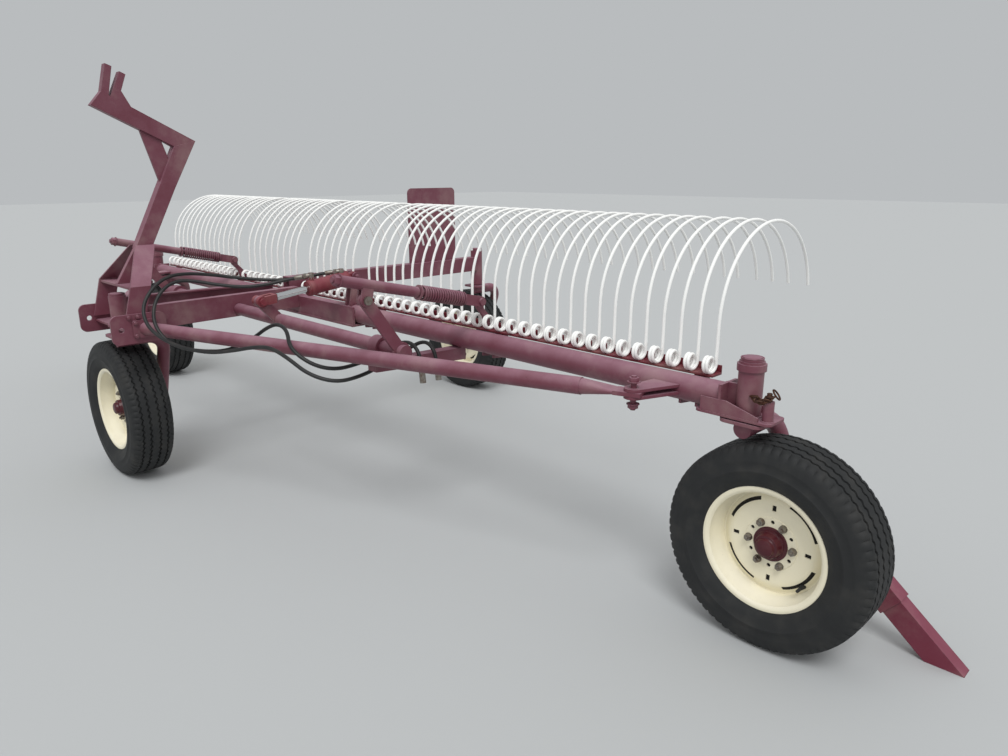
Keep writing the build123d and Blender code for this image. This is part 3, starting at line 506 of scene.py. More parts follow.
def add_block(mesh: BMesh, middle: Vector, size: Sequence[float], soften: float) -> None:
    """Add a block with softened edges to a mesh.

    Args:
        mesh: The mesh that gets the block.
        middle: The block's middle.
        size: Its size along X, Y and Z.
        soften: The width of the bevel on its edges.
    """
    placed = Matrix.Translation(middle) @ Matrix.Diagonal((*size, 1))
    made = bmesh.ops.create_cube(mesh, size=1, matrix=placed)
    bmesh.ops.bevel(
        mesh, geom=edges_of(made["verts"]), offset=soften, affect="EDGES", segments=2, profile=0.5,
        material=-1, clamp_overlap=True,
    )


def add_round(
    mesh: BMesh, place: Vector, axis: Vector, radius: float, long: float,
    sides: int = 24, soften: float = 0.0, tip: float | None = None,
) -> None:
    """Add a cylinder or a prism that stands on a place and runs along an axis.

    Args:
        mesh: The mesh that gets the shape.
        place: The middle of its foot.
        axis: Its direction, one metre long.
        radius: Its radius to the corners.
        long: Its length.
        sides: How many flat sides it has.
        soften: The width of the bevel on its far edge.
        tip: The radius at its far end, where it tapers.
    """
    middle = place + axis * long / 2
    made = bmesh.ops.create_cone(
        mesh, cap_ends=True, segments=sides, radius1=radius, radius2=radius if tip is None else tip,
        depth=long, matrix=turned_to(axis, middle),
    )
    if soften:
        far = {vertex for vertex in made["verts"] if (vertex.co - middle).dot(axis) > 0}
        edges = [edge for edge in mesh.edges if edge.verts[0] in far and edge.verts[1] in far]
        bmesh.ops.bevel(
            mesh, geom=edges, offset=soften, affect="EDGES", segments=2, profile=0.5, material=-1
        )


class Turned(NamedTuple):
    """One turned or six-sided part of a stack: where it starts, its radius, length, sides and bevel."""

    start: float
    radius: float
    long: float
    sides: int = 24
    soften: float = 0.0


def add_stack(mesh: BMesh, foot: Vector, axis: Vector, parts: Iterable[Turned]) -> None:
    """Add turned and six-sided parts that stand on one axis, such as a washer, a nut and a stud.

    Args:
        mesh: The mesh that gets the parts.
        foot: The place that they are measured from.
        axis: Their direction, one metre long.
        parts: The parts.
    """
    for part in parts:
        add_round(mesh, foot + axis * part.start, axis, part.radius, part.long, part.sides, part.soften)


def add_hex(mesh: BMesh, place: Vector, axis: Vector, across: float, high: float) -> None:
    """Add a bolt's washer, its nut and the stud's end.

    Args:
        mesh: The mesh that gets them.
        place: The middle of the washer's foot.
        axis: The bolt's direction, one metre long.
        across: The nut's size across its flats.
        high: The nut's height.
    """
    add_stack(mesh, place, axis, (
        Turned(0.0, across * 0.72, high * 0.18, 20),
        Turned(high * 0.18, across * HEX_CORNER, high, 6, high * 0.1),
        Turned(high * 1.15, across * 0.3, high * 0.4, 14),
    ))


def add_ring(
    mesh: BMesh, middle: Vector, axis: Vector, radius: float, wire: float,
    steps: int = 40, sides: int = 8, ripple: float = 0.0,
) -> None:
    """Add a closed ring of round wire or of weld, rippled where it is a weld.

    Args:
        mesh: The mesh that gets the ring.
        middle: The ring's middle.
        axis: The ring's axis.
        radius: Its mean radius.
        wire: The radius of its wire.
        steps: Divisions round the ring.
        sides: Divisions round the wire.
        ripple: How far a weld's surface wanders, in metres.
    """
    start = turned_to(axis, middle) @ Matrix.Translation((radius, 0, 0)) @ Matrix.Rotation(pi / 2, 4, "X")
    made = bmesh.ops.create_circle(mesh, segments=sides, radius=wire, matrix=start)["verts"]
    before = set(mesh.verts) - set(made)
    bmesh.ops.spin(
        mesh, geom=made + edges_of(made), cent=middle, axis=axis.normalized(), angle=tau, steps=steps,
        use_merge=True,
    )
    if ripple:
        # The bead's ripples are about 4 mm long
        waves = 260
        for vertex in set(mesh.verts) - before:
            vertex.co += (vertex.co - middle).normalized() * ripple * noise.noise(vertex.co * waves)


@dataclass
class Wire:
    """Round spring wire that is drawn out of a ring, run by run."""

    mesh: BMesh
    diameter: float
    sides: int = 8
    loop: list[BMVert | BMEdge] = field(default_factory=list)

    def start(self, place: Vector, way: Vector) -> None:
        """Set the wire's first ring.

        Args:
            place: The ring's middle.
            way: The direction that the wire sets off in.
        """
        verts = bmesh.ops.create_circle(
            self.mesh, segments=self.sides, radius=self.diameter / 2, matrix=turned_to(way, place)
        )["verts"]
        self.loop = verts + edges_of(verts)

    def bend(self, middle: Vector, axis: Vector, angle: float, steps: int, climb: Vector = Vector()) -> None:
        """Draw the wire round an axis.

        Args:
            middle: A point on the axis.
            axis: The axis to turn round.
            angle: How far to turn, in radians.
            steps: Into how many divisions.
            climb: How far the wire travels along the axis in all.
        """
        self.loop = bmesh.ops.spin(
            self.mesh, geom=self.loop, cent=middle, axis=axis, dvec=climb / steps, angle=angle, steps=steps,
            use_merge=False,
        )["geom_last"]

    def run(self, travel: Vector) -> None:
        """Draw the wire straight on.

        Args:
            travel: How far, and which way.
        """
        edges = [item for item in self.loop if isinstance(item, BMEdge)]
        made = bmesh.ops.extrude_edge_only(self.mesh, edges=edges)["geom"]
        verts = verts_in(made)
        bmesh.ops.translate(self.mesh, verts=verts, vec=travel)
        ring = set(verts)
        self.loop = verts + [edge for edge in edges_of(verts) if ring.issuperset(edge.verts)]

    def close(self) -> None:
        """Fill the wire's two open ends."""
        bmesh.ops.holes_fill(self.mesh, edges=self.mesh.edges, sides=self.sides)


def spun(profile: Iterable[tuple[float, float]], middle: Vector, steps: int, closed: bool = True) -> BMesh:
    """Spin a profile round a wheel's axle.

    Args:
        profile: Pairs of radius and place along the axle, in metres.
        middle: The wheel's middle.
        steps: Divisions round the axle.
        closed: Whether the last point joins the first.

    Returns:
        The spun shape.
    """
    mesh = bmesh.new()
    points = [mesh.verts.new(middle + Vector((radius, place, 0))) for radius, place in profile]
    pairs = list(zip(points, points[1:])) + ([(points[-1], points[0])] if closed else [])
    edges = [mesh.edges.new(pair) for pair in pairs]
    bmesh.ops.spin(
        mesh, geom=points + edges, cent=middle, axis=Y_AXIS, angle=tau, steps=steps, use_merge=True
    )
    bmesh.ops.remove_doubles(mesh, verts=mesh.verts, dist=0.00002)
    return mesh


def cut_out(piece: Object, cutter: BMesh) -> None:
    """Cut a shape out of a piece's mesh.

    Args:
        piece: The piece that gets the holes.
        cutter: The shape of the holes, used up here.
    """
    bmesh.ops.recalc_face_normals(cutter, faces=cutter.faces)
    data = bpy.data.meshes.new("holes")
    cutter.to_mesh(data)
    cutter.free()
    tool = add_object("holes", data)
    boolean = piece.modifiers.new("holes", "BOOLEAN")
    boolean.operation = "DIFFERENCE"
    boolean.solver = "EXACT"
    boolean.object = tool
    shaped = bpy.data.meshes.new_from_object(piece.evaluated_get(bpy.context.evaluated_depsgraph_get()))
    shaped.set_sharp_from_angle(angle=SHARP_ANGLE)
    piece.modifiers.remove(boolean)
    piece.data = shaped
    bpy.data.objects.remove(tool)


@dataclass
class Wheel:
    """A light trailer wheel: ribbed tyre, dished steel disc, lug nuts and a stepped hub cap.

    Profiles are pairs of radius and place along the axle, outwards from the tyre's middle.
    """

    name: str
    finishes: Finishes
    tyre_steps: int = 288
    rim_steps: int = 96
    hub_steps: int = 48
    tread_radius: float = 0.333
    tread_half: float = 0.063
    tread_period: int = 4
    tread_sway: float = 0.0028
    shoulder: tuple[float, float] = (0.325, 0.3405)
    shoulder_side: float = 0.075
    notch_deep: float = 0.006
    lug_count: int = 6
    lug_circle: float = 0.0745
    lug_foot: float = 0.0195
    nut_across: float = 0.021
    nut_high: float = 0.014
    # The nut's round seat, its radius as a share of the nut's size across flats
    seat_share: float = 0.62
    stud: Turned = Turned(0.015, 0.006, 0.008, 12, 0.001)
    hole_radius: float = 0.0065
    knockout_count: int = 4
    knockout_circle: float = 0.121
    knockout_size: tuple[float, float] = (0.020, 0.013)
    crescent_circle: float = 0.150
    crescent_turn: float = 52.0
    crescent_steps: int = 12
    crescent_profile: Pairs = (
        (-0.0055, 0.0157), (0.0030, 0.0115), (0.0055, 0.0097), (0.0055, 0.0040), (-0.0055, 0.0040),
    )
    valve_circle: float = 0.158
    valve_turn: float = 225.0
    valve_foot: float = 0.004
    valve_root: tuple[float, float, int] = (0.0095, 0.022, 14)
    valve_tip: float = 0.0060
    valve_stem: Turned = Turned(0.021, 0.0052, 0.024, 12, 0.001)
    tyre_half: Pairs = (
        (0.1915, 0.0745), (0.2075, 0.0790), (0.2200, 0.0900), (0.2400, 0.0990), (0.2580, 0.1020),
        (0.2600, 0.1034), (0.2640, 0.1034), (0.2660, 0.1020), (0.2900, 0.1000), (0.2930, 0.1008),
        (0.2960, 0.1000), (0.3120, 0.0965), (0.3260, 0.0915), (0.3360, 0.0840), (0.3400, 0.0770),
        (0.3415, 0.0700), (0.3420, 0.0620), (0.3345, 0.0605), (0.3345, 0.0540), (0.3428, 0.0525),
        (0.3435, 0.0270), (0.3355, 0.0255), (0.3355, 0.0180), (0.3440, 0.0165),
    )
    rim_profile: Pairs = (
        (0.0206, -0.058), (0.046, -0.058), (0.048, -0.056), (0.048, 0.009), (0.134, 0.010),
        (0.150, 0.004), (0.164, -0.008), (0.172, -0.014), (0.174, -0.030), (0.183, -0.050),
        (0.1845, -0.074), (0.190, -0.080), (0.200, -0.0825), (0.207, -0.0810), (0.2085, -0.0775),
        (0.2065, -0.0755), (0.198, -0.0765), (0.1905, -0.0745), (0.1885, -0.050), (0.178, -0.034),
        (0.178, 0.022), (0.1885, 0.046), (0.1905, 0.0745), (0.198, 0.0765), (0.2065, 0.0755),
        (0.2085, 0.0775), (0.207, 0.0810), (0.200, 0.0825), (0.192, 0.0800), (0.1865, 0.074),
        (0.1845, 0.050), (0.1745, 0.030), (0.174, 0.0), (0.168, 0.000), (0.153, 0.011),
        (0.140, 0.0175), (0.130, 0.0180), (0.105, 0.0170), (0.088, 0.0175), (0.086, 0.0205),
        (0.058, 0.0210), (0.048, 0.0195), (0.0206, 0.0195),
    )
    hub_profile: Pairs = (
        (0.0, 0.018), (0.0575, 0.018), (0.0575, 0.0235), (0.056, 0.025), (0.047, 0.0255),
        (0.046, 0.029), (0.043, 0.030), (0.041, 0.033), (0.040, 0.052), (0.038, 0.055),
        (0.032, 0.056), (0.030, 0.058), (0.028, 0.067), (0.022, 0.071), (0.010, 0.0725), (0.0, 0.073),
    )

    def middle(self) -> Vector:
        """Give the wheel's middle from its tyre's box."""
        low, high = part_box(f"tyre_{self.name}")
        return (low + high) / 2

    def on_circle(self, radius: float, angle: float, place: float) -> Vector:
        """Give a place on a circle round the axle."""
        return self.middle() + Vector((radius * cos(angle), place, radius * sin(angle)))

    def fit(
        self, mesh: BMesh, kind: str, finish: Material, slot: Slot, replaces: Sequence[str] = ()
    ) -> Object:
        """Make a mesh into one of the wheel's pieces.

        Args:
            mesh: The shape, in the model's frame.
            kind: The piece's name, without the wheel's.
            finish: Its material.
            slot: The record's material slot meant for it; not used.
            replaces: Nodes that it stands for.

        Returns:
            The new piece.
        """
        return add_piece(mesh, f"{kind}_{self.name}", finish, f"wheel_{self.name}", replaces)

    def build_tyre(self) -> None:
        """Spin the tyre, then sway its grooves and notch its shoulders."""
        middle = self.middle()
        profile = [*self.tyre_half, *((radius, -place) for radius, place in reversed(self.tyre_half))]
        mesh = spun(profile, middle, self.tyre_steps)
        for vertex in mesh.verts:
            arm = vertex.co - middle
            radius = sqrt(arm.x**2 + arm.z**2)
            step = round(atan2(arm.z, arm.x) / tau * self.tyre_steps) % self.tread_period
            if radius > self.tread_radius and abs(arm.y) < self.tread_half:
                vertex.co.y += self.tread_sway * (1 if step < self.tread_period / 2 else -1)
            on_shoulder = self.shoulder[0] < radius < self.shoulder[1] and abs(arm.y) > self.shoulder_side
            if on_shoulder and step == 0:
                vertex.co -= Vector((arm.x, 0, arm.z)).normalized() * self.notch_deep
        self.fit(mesh, "tyre_ribbed", self.finishes.tyre, Slot.TYRE, [f"tyre_{self.name}"])

    def add_holes(
        self, mesh: BMesh, foot: float, middle: float, deep: tuple[float, float], gap: float = 0.0
    ) -> None:
        """Add the shapes of the disc's round holes and of its knockouts.

        Args:
            mesh: The mesh that gets them.
            foot: Where the round ones start along the axle.
            middle: Where the knockouts have their middles along the axle.
            deep: The depth of the round ones and of the knockouts.
            gap: How far all of them stay inside the edges of the holes.
        """
        for number in range(self.lug_count):
            spot = self.on_circle(self.lug_circle, tau * (number + 0.5) / self.lug_count, foot)
            add_round(mesh, spot, Y_AXIS, self.hole_radius - gap, deep[0], sides=14)
        wide, high = (size - 2 * gap for size in self.knockout_size)
        for number in range(self.knockout_count):
            angle = tau * number / self.knockout_count
            place = Matrix.Translation(self.on_circle(self.knockout_circle, angle, middle))
            turn = Matrix.Rotation(-angle, 4, "Y")
            size = Matrix.Diagonal((wide, deep[1], high, 1))
            bmesh.ops.create_cube(mesh, size=1, matrix=place @ turn @ size)

    def build_rim(self) -> None:
        """Spin the rim and its dished disc, and cut the disc's holes."""
        mesh = spun(self.rim_profile, self.middle(), self.rim_steps)
        piece = self.fit(mesh, "rim_dished", self.finishes.rim, Slot.RIM, [f"rim_{self.name}"])
        cutter = bmesh.new()
        self.add_holes(cutter, foot=0.0, middle=0.013, deep=(0.04, 0.05))
        cut_out(piece, cutter)

    def build_painted_shade(self) -> None:
        """Paint shade into the holes from inside, and into the crescent gaps between the disc and the rim.
        """
        mesh = bmesh.new()
        self.add_holes(mesh, foot=0.0145, middle=0.0132, deep=(0.002, 0.002), gap=0.0001)
        turn = radians(self.crescent_turn)
        for number in range(self.knockout_count):
            start = tau * (number + 0.5) / self.knockout_count - turn / 2
            verts = [
                mesh.verts.new(self.on_circle(self.crescent_circle + out, start, place))
                for out, place in self.crescent_profile
            ]
            face = mesh.faces.new(verts)
            bmesh.ops.spin(
                mesh, geom=[face, *face.edges, *verts], cent=self.middle(), axis=Y_AXIS, angle=-turn,
                steps=self.crescent_steps, use_merge=False,
            )
        self.fit(mesh, "disc_hole_painted_shade", self.finishes.shade, Slot.TYRE)

    def build_hub(self) -> None:
        """Build the hub cap, the lug nuts and the valve."""
        cap = spun(self.hub_profile, self.middle(), self.hub_steps, closed=False)
        self.fit(cap, "hub_cap", self.finishes.hub, Slot.FRAME)
        nuts = bmesh.new()
        seat = Turned(0.0, self.nut_across * self.seat_share, 0.004, 18)
        nut = Turned(0.003, self.nut_across * HEX_CORNER, self.nut_high, 6, 0.002)
        for number in range(self.lug_count):
            spot = self.on_circle(self.lug_circle, tau * number / self.lug_count, self.lug_foot)
            add_stack(nuts, spot, Y_AXIS, (seat, nut, self.stud))
        self.fit(nuts, "lug_nuts", self.finishes.zinc, Slot.BOLT)
        valve = bmesh.new()
        foot = self.on_circle(self.valve_circle, radians(self.valve_turn), self.valve_foot)
        add_round(valve, foot, Y_AXIS, *self.valve_root, tip=self.valve_tip)
        add_stack(valve, foot, Y_AXIS, [self.valve_stem])
        self.fit(valve, "valve_stem", self.finishes.tyre, Slot.TYRE)

    def build(self) -> None:
        """Build the whole wheel."""
        self.build_tyre()
        self.build_rim()
        self.build_painted_shade()
        self.build_hub()


@dataclass
class TineRow:
    """A strip of coiled spring tines on its hinge arms."""

    side: Side
    layout: Layout
    finishes: Finishes
    start: float
    end: float
    arms: tuple[float, ...]
    end_room: float = 0.005
    cylinder_room: float = 0.038
    lever_room: float = 0.022
    pitch: float = 0.070
    wire: float = 0.0116
    coil_outer: float = 0.062
    coil_y: float = -0.040
    coil_z: float = 0.8785
    coil_turns: int = 2
    coil_steps: int = 20
    # From turn to turn, in thicknesses of the wire
    coil_spread: float = 1.04
    coil_wide: float = 0.020
    arc_y: float = -0.385
    arc_z: float = 1.010
    arc_turn: float = 168.0
    arc_steps: int = 30
    # How deep a tine's foot stands below the strip's top, in thicknesses of the strip
    foot_deep: float = 1.4
    # The farthest that a tine leans, for each lean_high of height and again by its reach back
    lean: float = 0.018
    lean_high: float = 0.32
    lean_back: float = 1.6
    lean_start: float = 0.05
    lean_change: float = 9.0
    lean_draw: float = 1.7
    strip_top: float = 0.8485
    strip_thick: float = 0.008
    strip_front: float = -0.028
    strip_back: float = -0.088
    strip_soften: float = 0.0012
    lip_thick: float = 0.005
    lip_high: float = 0.026
    lip_middle: float = 0.011
    lip_soften: float = 0.001
    hinge_y: float = -0.062
    hinge_z: float = 0.752
    hinge_outer: float = 0.036
    arm_half: float = 0.0245
    arm_thick: float = 0.022
    arm_behind: float = 0.007
    arm_sunk: float = 0.001
    arm_soften: float = 0.002
    # The weld ring's radius, in thicknesses of the tine's wire, and its own bead
    weld_share: float = 0.56
    weld_bead: float = 0.0022

    @property
    def rear(self) -> float:
        """Give how far back the coils' wire runs."""
        return self.coil_y - (self.coil_outer - self.wire) / 2

    @property
    def climb(self) -> float:
        """Give how far a coil takes its wire along the strip."""
        return self.wire * self.coil_spread * self.coil_turns

    def fit(self, mesh: BMesh, kind: str, finish: Material, slot: Slot, stands: bool = True) -> None:
        """Make a mesh into one of the row's pieces.

        Args:
            mesh: The shape, in the model's frame.
            kind: The piece's name, without the row's.
            finish: Its material.
            slot: The record's material slot meant for it; not used.
            stands: Whether it stands for the row's plain node.
        """
        row = self.side.label
        add_piece(mesh, f"{kind}_{row}", finish, f"tines_{row}", [f"tine_bar_{row}"] if stands else ())

    def places(self) -> list[float]:
        """Find where the tines stand along the strip, leaving out those in a mechanism's way.

        Returns:
            The middle of each tine's wire, along X.
        """
        room = self.end - self.start - self.coil_wide - 2 * self.end_room
        kept = []
        for number in range(int(room / self.pitch) + 1):
            place = self.start + self.end_room + number * self.pitch
            middle = place + self.coil_wide / 2
            at_cylinder = abs(middle - self.layout.cylinder_x) < self.cylinder_room
            at_lever = abs(abs(middle) - self.layout.lever_x) < self.lever_room
            if not (at_cylinder or at_lever):
                kept.append(place + self.wire / 2)
        return kept

    def lean_over(self, verts: Iterable[BMVert], place: float) -> None:
        """Lean a tine a little to one side, as years of work have.

        Args:
            verts: The tine's vertices.
            place: Where it stands along the strip, which settles its lean.
        """
        lean = noise.noise(Vector((place * self.lean_change, self.lean_draw, 0))) * self.lean
        behind = self.rear - self.lean_start + self.layout.middle.y
        for vertex in verts:
            rise = max(0.0, vertex.co.z - self.arc_z) / self.lean_high
            vertex.co.x += lean * (rise + max(0.0, behind - vertex.co.y) * self.lean_back)

    def build_tines(self) -> None:
        """Draw one tine as spring wire and repeat it along the strip."""
        mesh = bmesh.new()
        wire = Wire(mesh, self.wire)
        tip = radians(self.arc_turn)
        arc_middle = self.layout.at(0, self.arc_y, self.arc_z)
        start = arc_middle + Vector((0, cos(tip), sin(tip))) * (self.rear - self.arc_y)
        wire.start(start, Vector((0, sin(tip), -cos(tip))))
        wire.bend(arc_middle, X_AXIS, -tip, self.arc_steps)
        wire.run(Z_AXIS * (self.coil_z - self.arc_z))
        coil_middle = self.layout.at(0, self.coil_y, self.coil_z)
        turn, steps = tau * self.coil_turns, self.coil_steps * self.coil_turns
        wire.bend(coil_middle, X_AXIS, turn, steps, X_AXIS * self.climb)
        wire.run(Z_AXIS * (self.strip_top - self.strip_thick * self.foot_deep - self.coil_z))
        wire.close()
        pattern = mesh.verts[:] + mesh.edges[:] + mesh.faces[:]
        for place in self.places():
            verts = verts_in(bmesh.ops.duplicate(mesh, geom=pattern)["geom"])
            bmesh.ops.translate(mesh, verts=verts, vec=X_AXIS * place)
            self.lean_over(verts, place)
        bmesh.ops.delete(mesh, geom=verts_in(pattern), context="VERTS")
        self.fit(mesh, "tine_wires", self.finishes.tine, Slot.TINE)

    def build_strip(self) -> None:
        """Build the strip with its lip, and its hinge arms."""
        mesh = bmesh.new()
        half_way, long = (self.start + self.end) / 2, self.end - self.start
        deep = self.strip_front - self.strip_back
        middle = self.layout.at(
            half_way, (self.strip_front + self.strip_back) / 2, self.strip_top - self.strip_thick / 2
        )
        add_block(mesh, middle, (long, deep, self.strip_thick), self.strip_soften)
        lip_y, lip_z = self.strip_back + self.lip_thick / 2, self.strip_top + self.lip_middle
        lip_size = (long, self.lip_thick, self.lip_high)
        add_block(mesh, self.layout.at(half_way, lip_y, lip_z), lip_size, self.lip_soften)
        top = self.strip_top - self.arm_sunk
        wide = 2 * self.arm_half
        for place in self.arms:
            arm = self.layout.at(place, self.hinge_y - self.arm_behind, (self.hinge_z + top) / 2)
            add_block(mesh, arm, (wide, self.arm_thick, top - self.hinge_z), self.arm_soften)
            foot = self.layout.at(place - self.arm_half, self.hinge_y, self.hinge_z)
            add_round(mesh, foot, X_AXIS, self.hinge_outer / 2, wide, sides=28)
        self.fit(mesh, "tine_strip", self.finishes.strip, Slot.FRAME)

    def build_welds(self) -> None:
        """Weld each tine's foot to the strip."""
        mesh = bmesh.new()
        for place in self.places():
            spot = self.layout.at(place + self.climb, self.rear, self.strip_top)
            add_ring(mesh, spot, Z_AXIS, self.wire * self.weld_share, self.weld_bead, steps=12, sides=6)
        self.fit(mesh, "tine_welds", self.finishes.strip, Slot.FRAME, stands=False)

    def build(self) -> None:
        """Build the whole row."""
        self.build_tines()
        self.build_strip()
        self.build_welds()


@dataclass
class LiftSpring:
    """The coil spring on a lift rod, with its two washers and the rod's end nut."""

    side: Side
    layout: Layout
    finishes: Finishes
    wire: float = 0.0085
    outer: float = 0.062
    start: float = 0.0935
    long: float = 0.234
    turns: int = 15
    turn_steps: int = 24
    washer: float = 0.005
    washer_margin: float = 0.001
    rod_end: float = 0.688
    nut_across: float = 0.036
    nut_high: float = 0.020

    def build(self) -> None:
        """Wind the spring with a closed turn at each end, and fit the washers and the nut."""
        way = self.layout.rod_way()
        eye = self.layout.at(self.side.value * self.layout.lever_x, *self.layout.crank_pin)
        mesh = bmesh.new()
        wire = Wire(mesh, self.wire, sides=10)
        foot = eye + way * (self.start + self.washer + self.wire / 2)
        wire.start(foot + X_AXIS * (self.outer - self.wire) / 2, way.cross(X_AXIS))
        rise = self.long - 2 * self.washer - self.wire * 4
        for turns, climb in ((1, self.wire), (self.turns, rise), (1, self.wire)):
            wire.bend(foot, way, tau * turns, self.turn_steps * turns, way * climb)
        wire.close()
        for place in (self.start, self.start + self.long - self.washer):
            radius = self.outer / 2 - self.washer_margin
            add_round(mesh, eye + way * place, way, radius, self.washer, sides=32)
        label, paint = self.side.label, self.finishes.frame
        add_piece(mesh, f"lift_coil_{label}", paint, f"lift_{label}", [f"spring_{label}"])
        nut = bmesh.new()
        add_hex(nut, eye + way * self.rod_end, way, self.nut_across, self.nut_high)
        add_piece(nut, f"lift_rod_nut_{label}", paint, f"lift_{label}")


@dataclass
class Hoses:
    """The two hydraulic hoses, from the cylinder's ports past the mast leg to the near outrigger."""

    layout: Layout
    finishes: Finishes
    diameter: float = 0.016
    lengths: dict[str, float] = field(default_factory=lambda: {"gland": 2.46, "butt": 2.73})
    # The bodies that the ferrules ride on, so that they clear the tilting barrel
    ferrule_bodies: dict[str, str] = field(default_factory=lambda: {"gland": "frame", "butt": "barrel"})
    ferrule: Turned = Turned(0.001, 0.0112, 0.038, 20, 0.001)
    # How far behind a hose's start the corner of its elbow lies
    elbow_back: float = 0.040
    elbow_stem: tuple[Turned, ...] = (
        Turned(-0.020, 0.0142, 0.012, 6, 0.001), Turned(-0.010, 0.0134, 0.0225, 24, 0.003),
    )
    elbow_arm: tuple[Turned, ...] = (
        Turned(0.0, 0.0118, 0.024), Turned(0.022, 0.0135, 0.0155, 6, 0.001),
    )
    # Points are x, y and height in millimetres
    routes: dict[str, tuple[Spot, ...]] = field(default_factory=lambda: {
        "gland": (
            (-160, 262, 1008), (-128, 312, 999), (-78, 395, 977), (-18, 492, 966), (45, 596, 982),
            (96, 685, 1006), (118, 762, 1010), (108, 835, 972), (78, 890, 898), (24, 907, 817),
            (-65, 870, 745), (-190, 795, 732), (-300, 728, 742), (-375, 648, 795), (-450, 618, 850),
            (-540, 612, 880), (-640, 625, 868), (-730, 670, 812), (-815, 625, 752), (-860, 545, 725),
            (-880, 440, 738), (-893, 350, 762), (-918, 290, 798), (-965, 268, 815), (-1015, 264, 808),
            (-1050, 262, 765), (-1056, 262, 715),
        ),
        "butt": (
            (-158, 92, 1014), (-128, 140, 1008), (-80, 218, 990), (-20, 312, 982), (42, 410, 990),
            (92, 505, 1006), (122, 598, 1024), (132, 693, 1037), (130, 782, 1034), (120, 858, 996),
            (90, 928, 920), (28, 945, 842), (-70, 914, 783), (-190, 868, 756), (-320, 815, 750),
            (-450, 775, 775), (-550, 738, 800), (-645, 712, 812), (-745, 695, 785), (-850, 662, 725),
            (-930, 590, 695), (-935, 480, 700), (-925, 370, 722), (-915, 280, 742), (-928, 215, 778),
            (-968, 186, 803), (-1015, 182, 800), (-1050, 181, 760), (-1056, 180, 712),
        ),
    })

    def line(self, name: str, points: Sequence[Vector]) -> bpy.types.Curve:
        """Draw a hose as a smooth tube along its route.

        Args:
            name: The hose's name.
            points: Its route, in the model's frame.

        Returns:
            The curve.
        """
        curve = bpy.data.curves.new(f"hose_line_{name}", "CURVE")
        curve.dimensions = "3D"
        curve.bevel_depth = self.diameter / 2
        curve.bevel_resolution = 4
        curve.use_fill_caps = True
        spline = curve.splines.new("NURBS")
        spline.points.add(len(points) - 1)
        for target, point in zip(spline.points, points):
            target.co = (*point, 1)
        spline.order_u = 3
        spline.use_endpoint_u = True
        spline.resolution_u = 10
        curve.materials.append(self.finishes.hose)
        return curve

    def build_ends(self, name: str, start: Vector, way: Vector) -> None:
        """Fit the plated elbow on the cylinder's port and the ferrule crimped on the hose.

        Args:
            name: The hose's name.
            start: Where the hose starts.
            way: The direction in which it leaves, one metre long.
        """
        elbow = bmesh.new()
        corner = start - way * self.elbow_back
        add_stack(elbow, corner, Z_AXIS, self.elbow_stem)
        add_stack(elbow, corner, way, self.elbow_arm)
        add_piece(elbow, f"port_elbow_{name}", self.finishes.zinc, "barrel")
        ferrule = bmesh.new()
        add_stack(ferrule, start, way, [self.ferrule])
        body = self.ferrule_bodies[name]
        add_piece(ferrule, f"hose_ferrule_{name}", self.finishes.zinc, body)

    def build(self) -> None:
        """Lay both hoses and fit their ends."""
        for name, route in self.routes.items():
            points = [self.layout.at(*(part / 1000 for part in point)) for point in route]
            hose = add_object(f"hydraulic_hose_{name}", self.line(name, points))
            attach(hose, "frame")
            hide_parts(f"hose_{name}")
            LOG.info("hydraulic_hose_%s: laid through %d points", name, len(points))
            self.build_ends(name, points[0], (points[1] - points[0]).normalized())


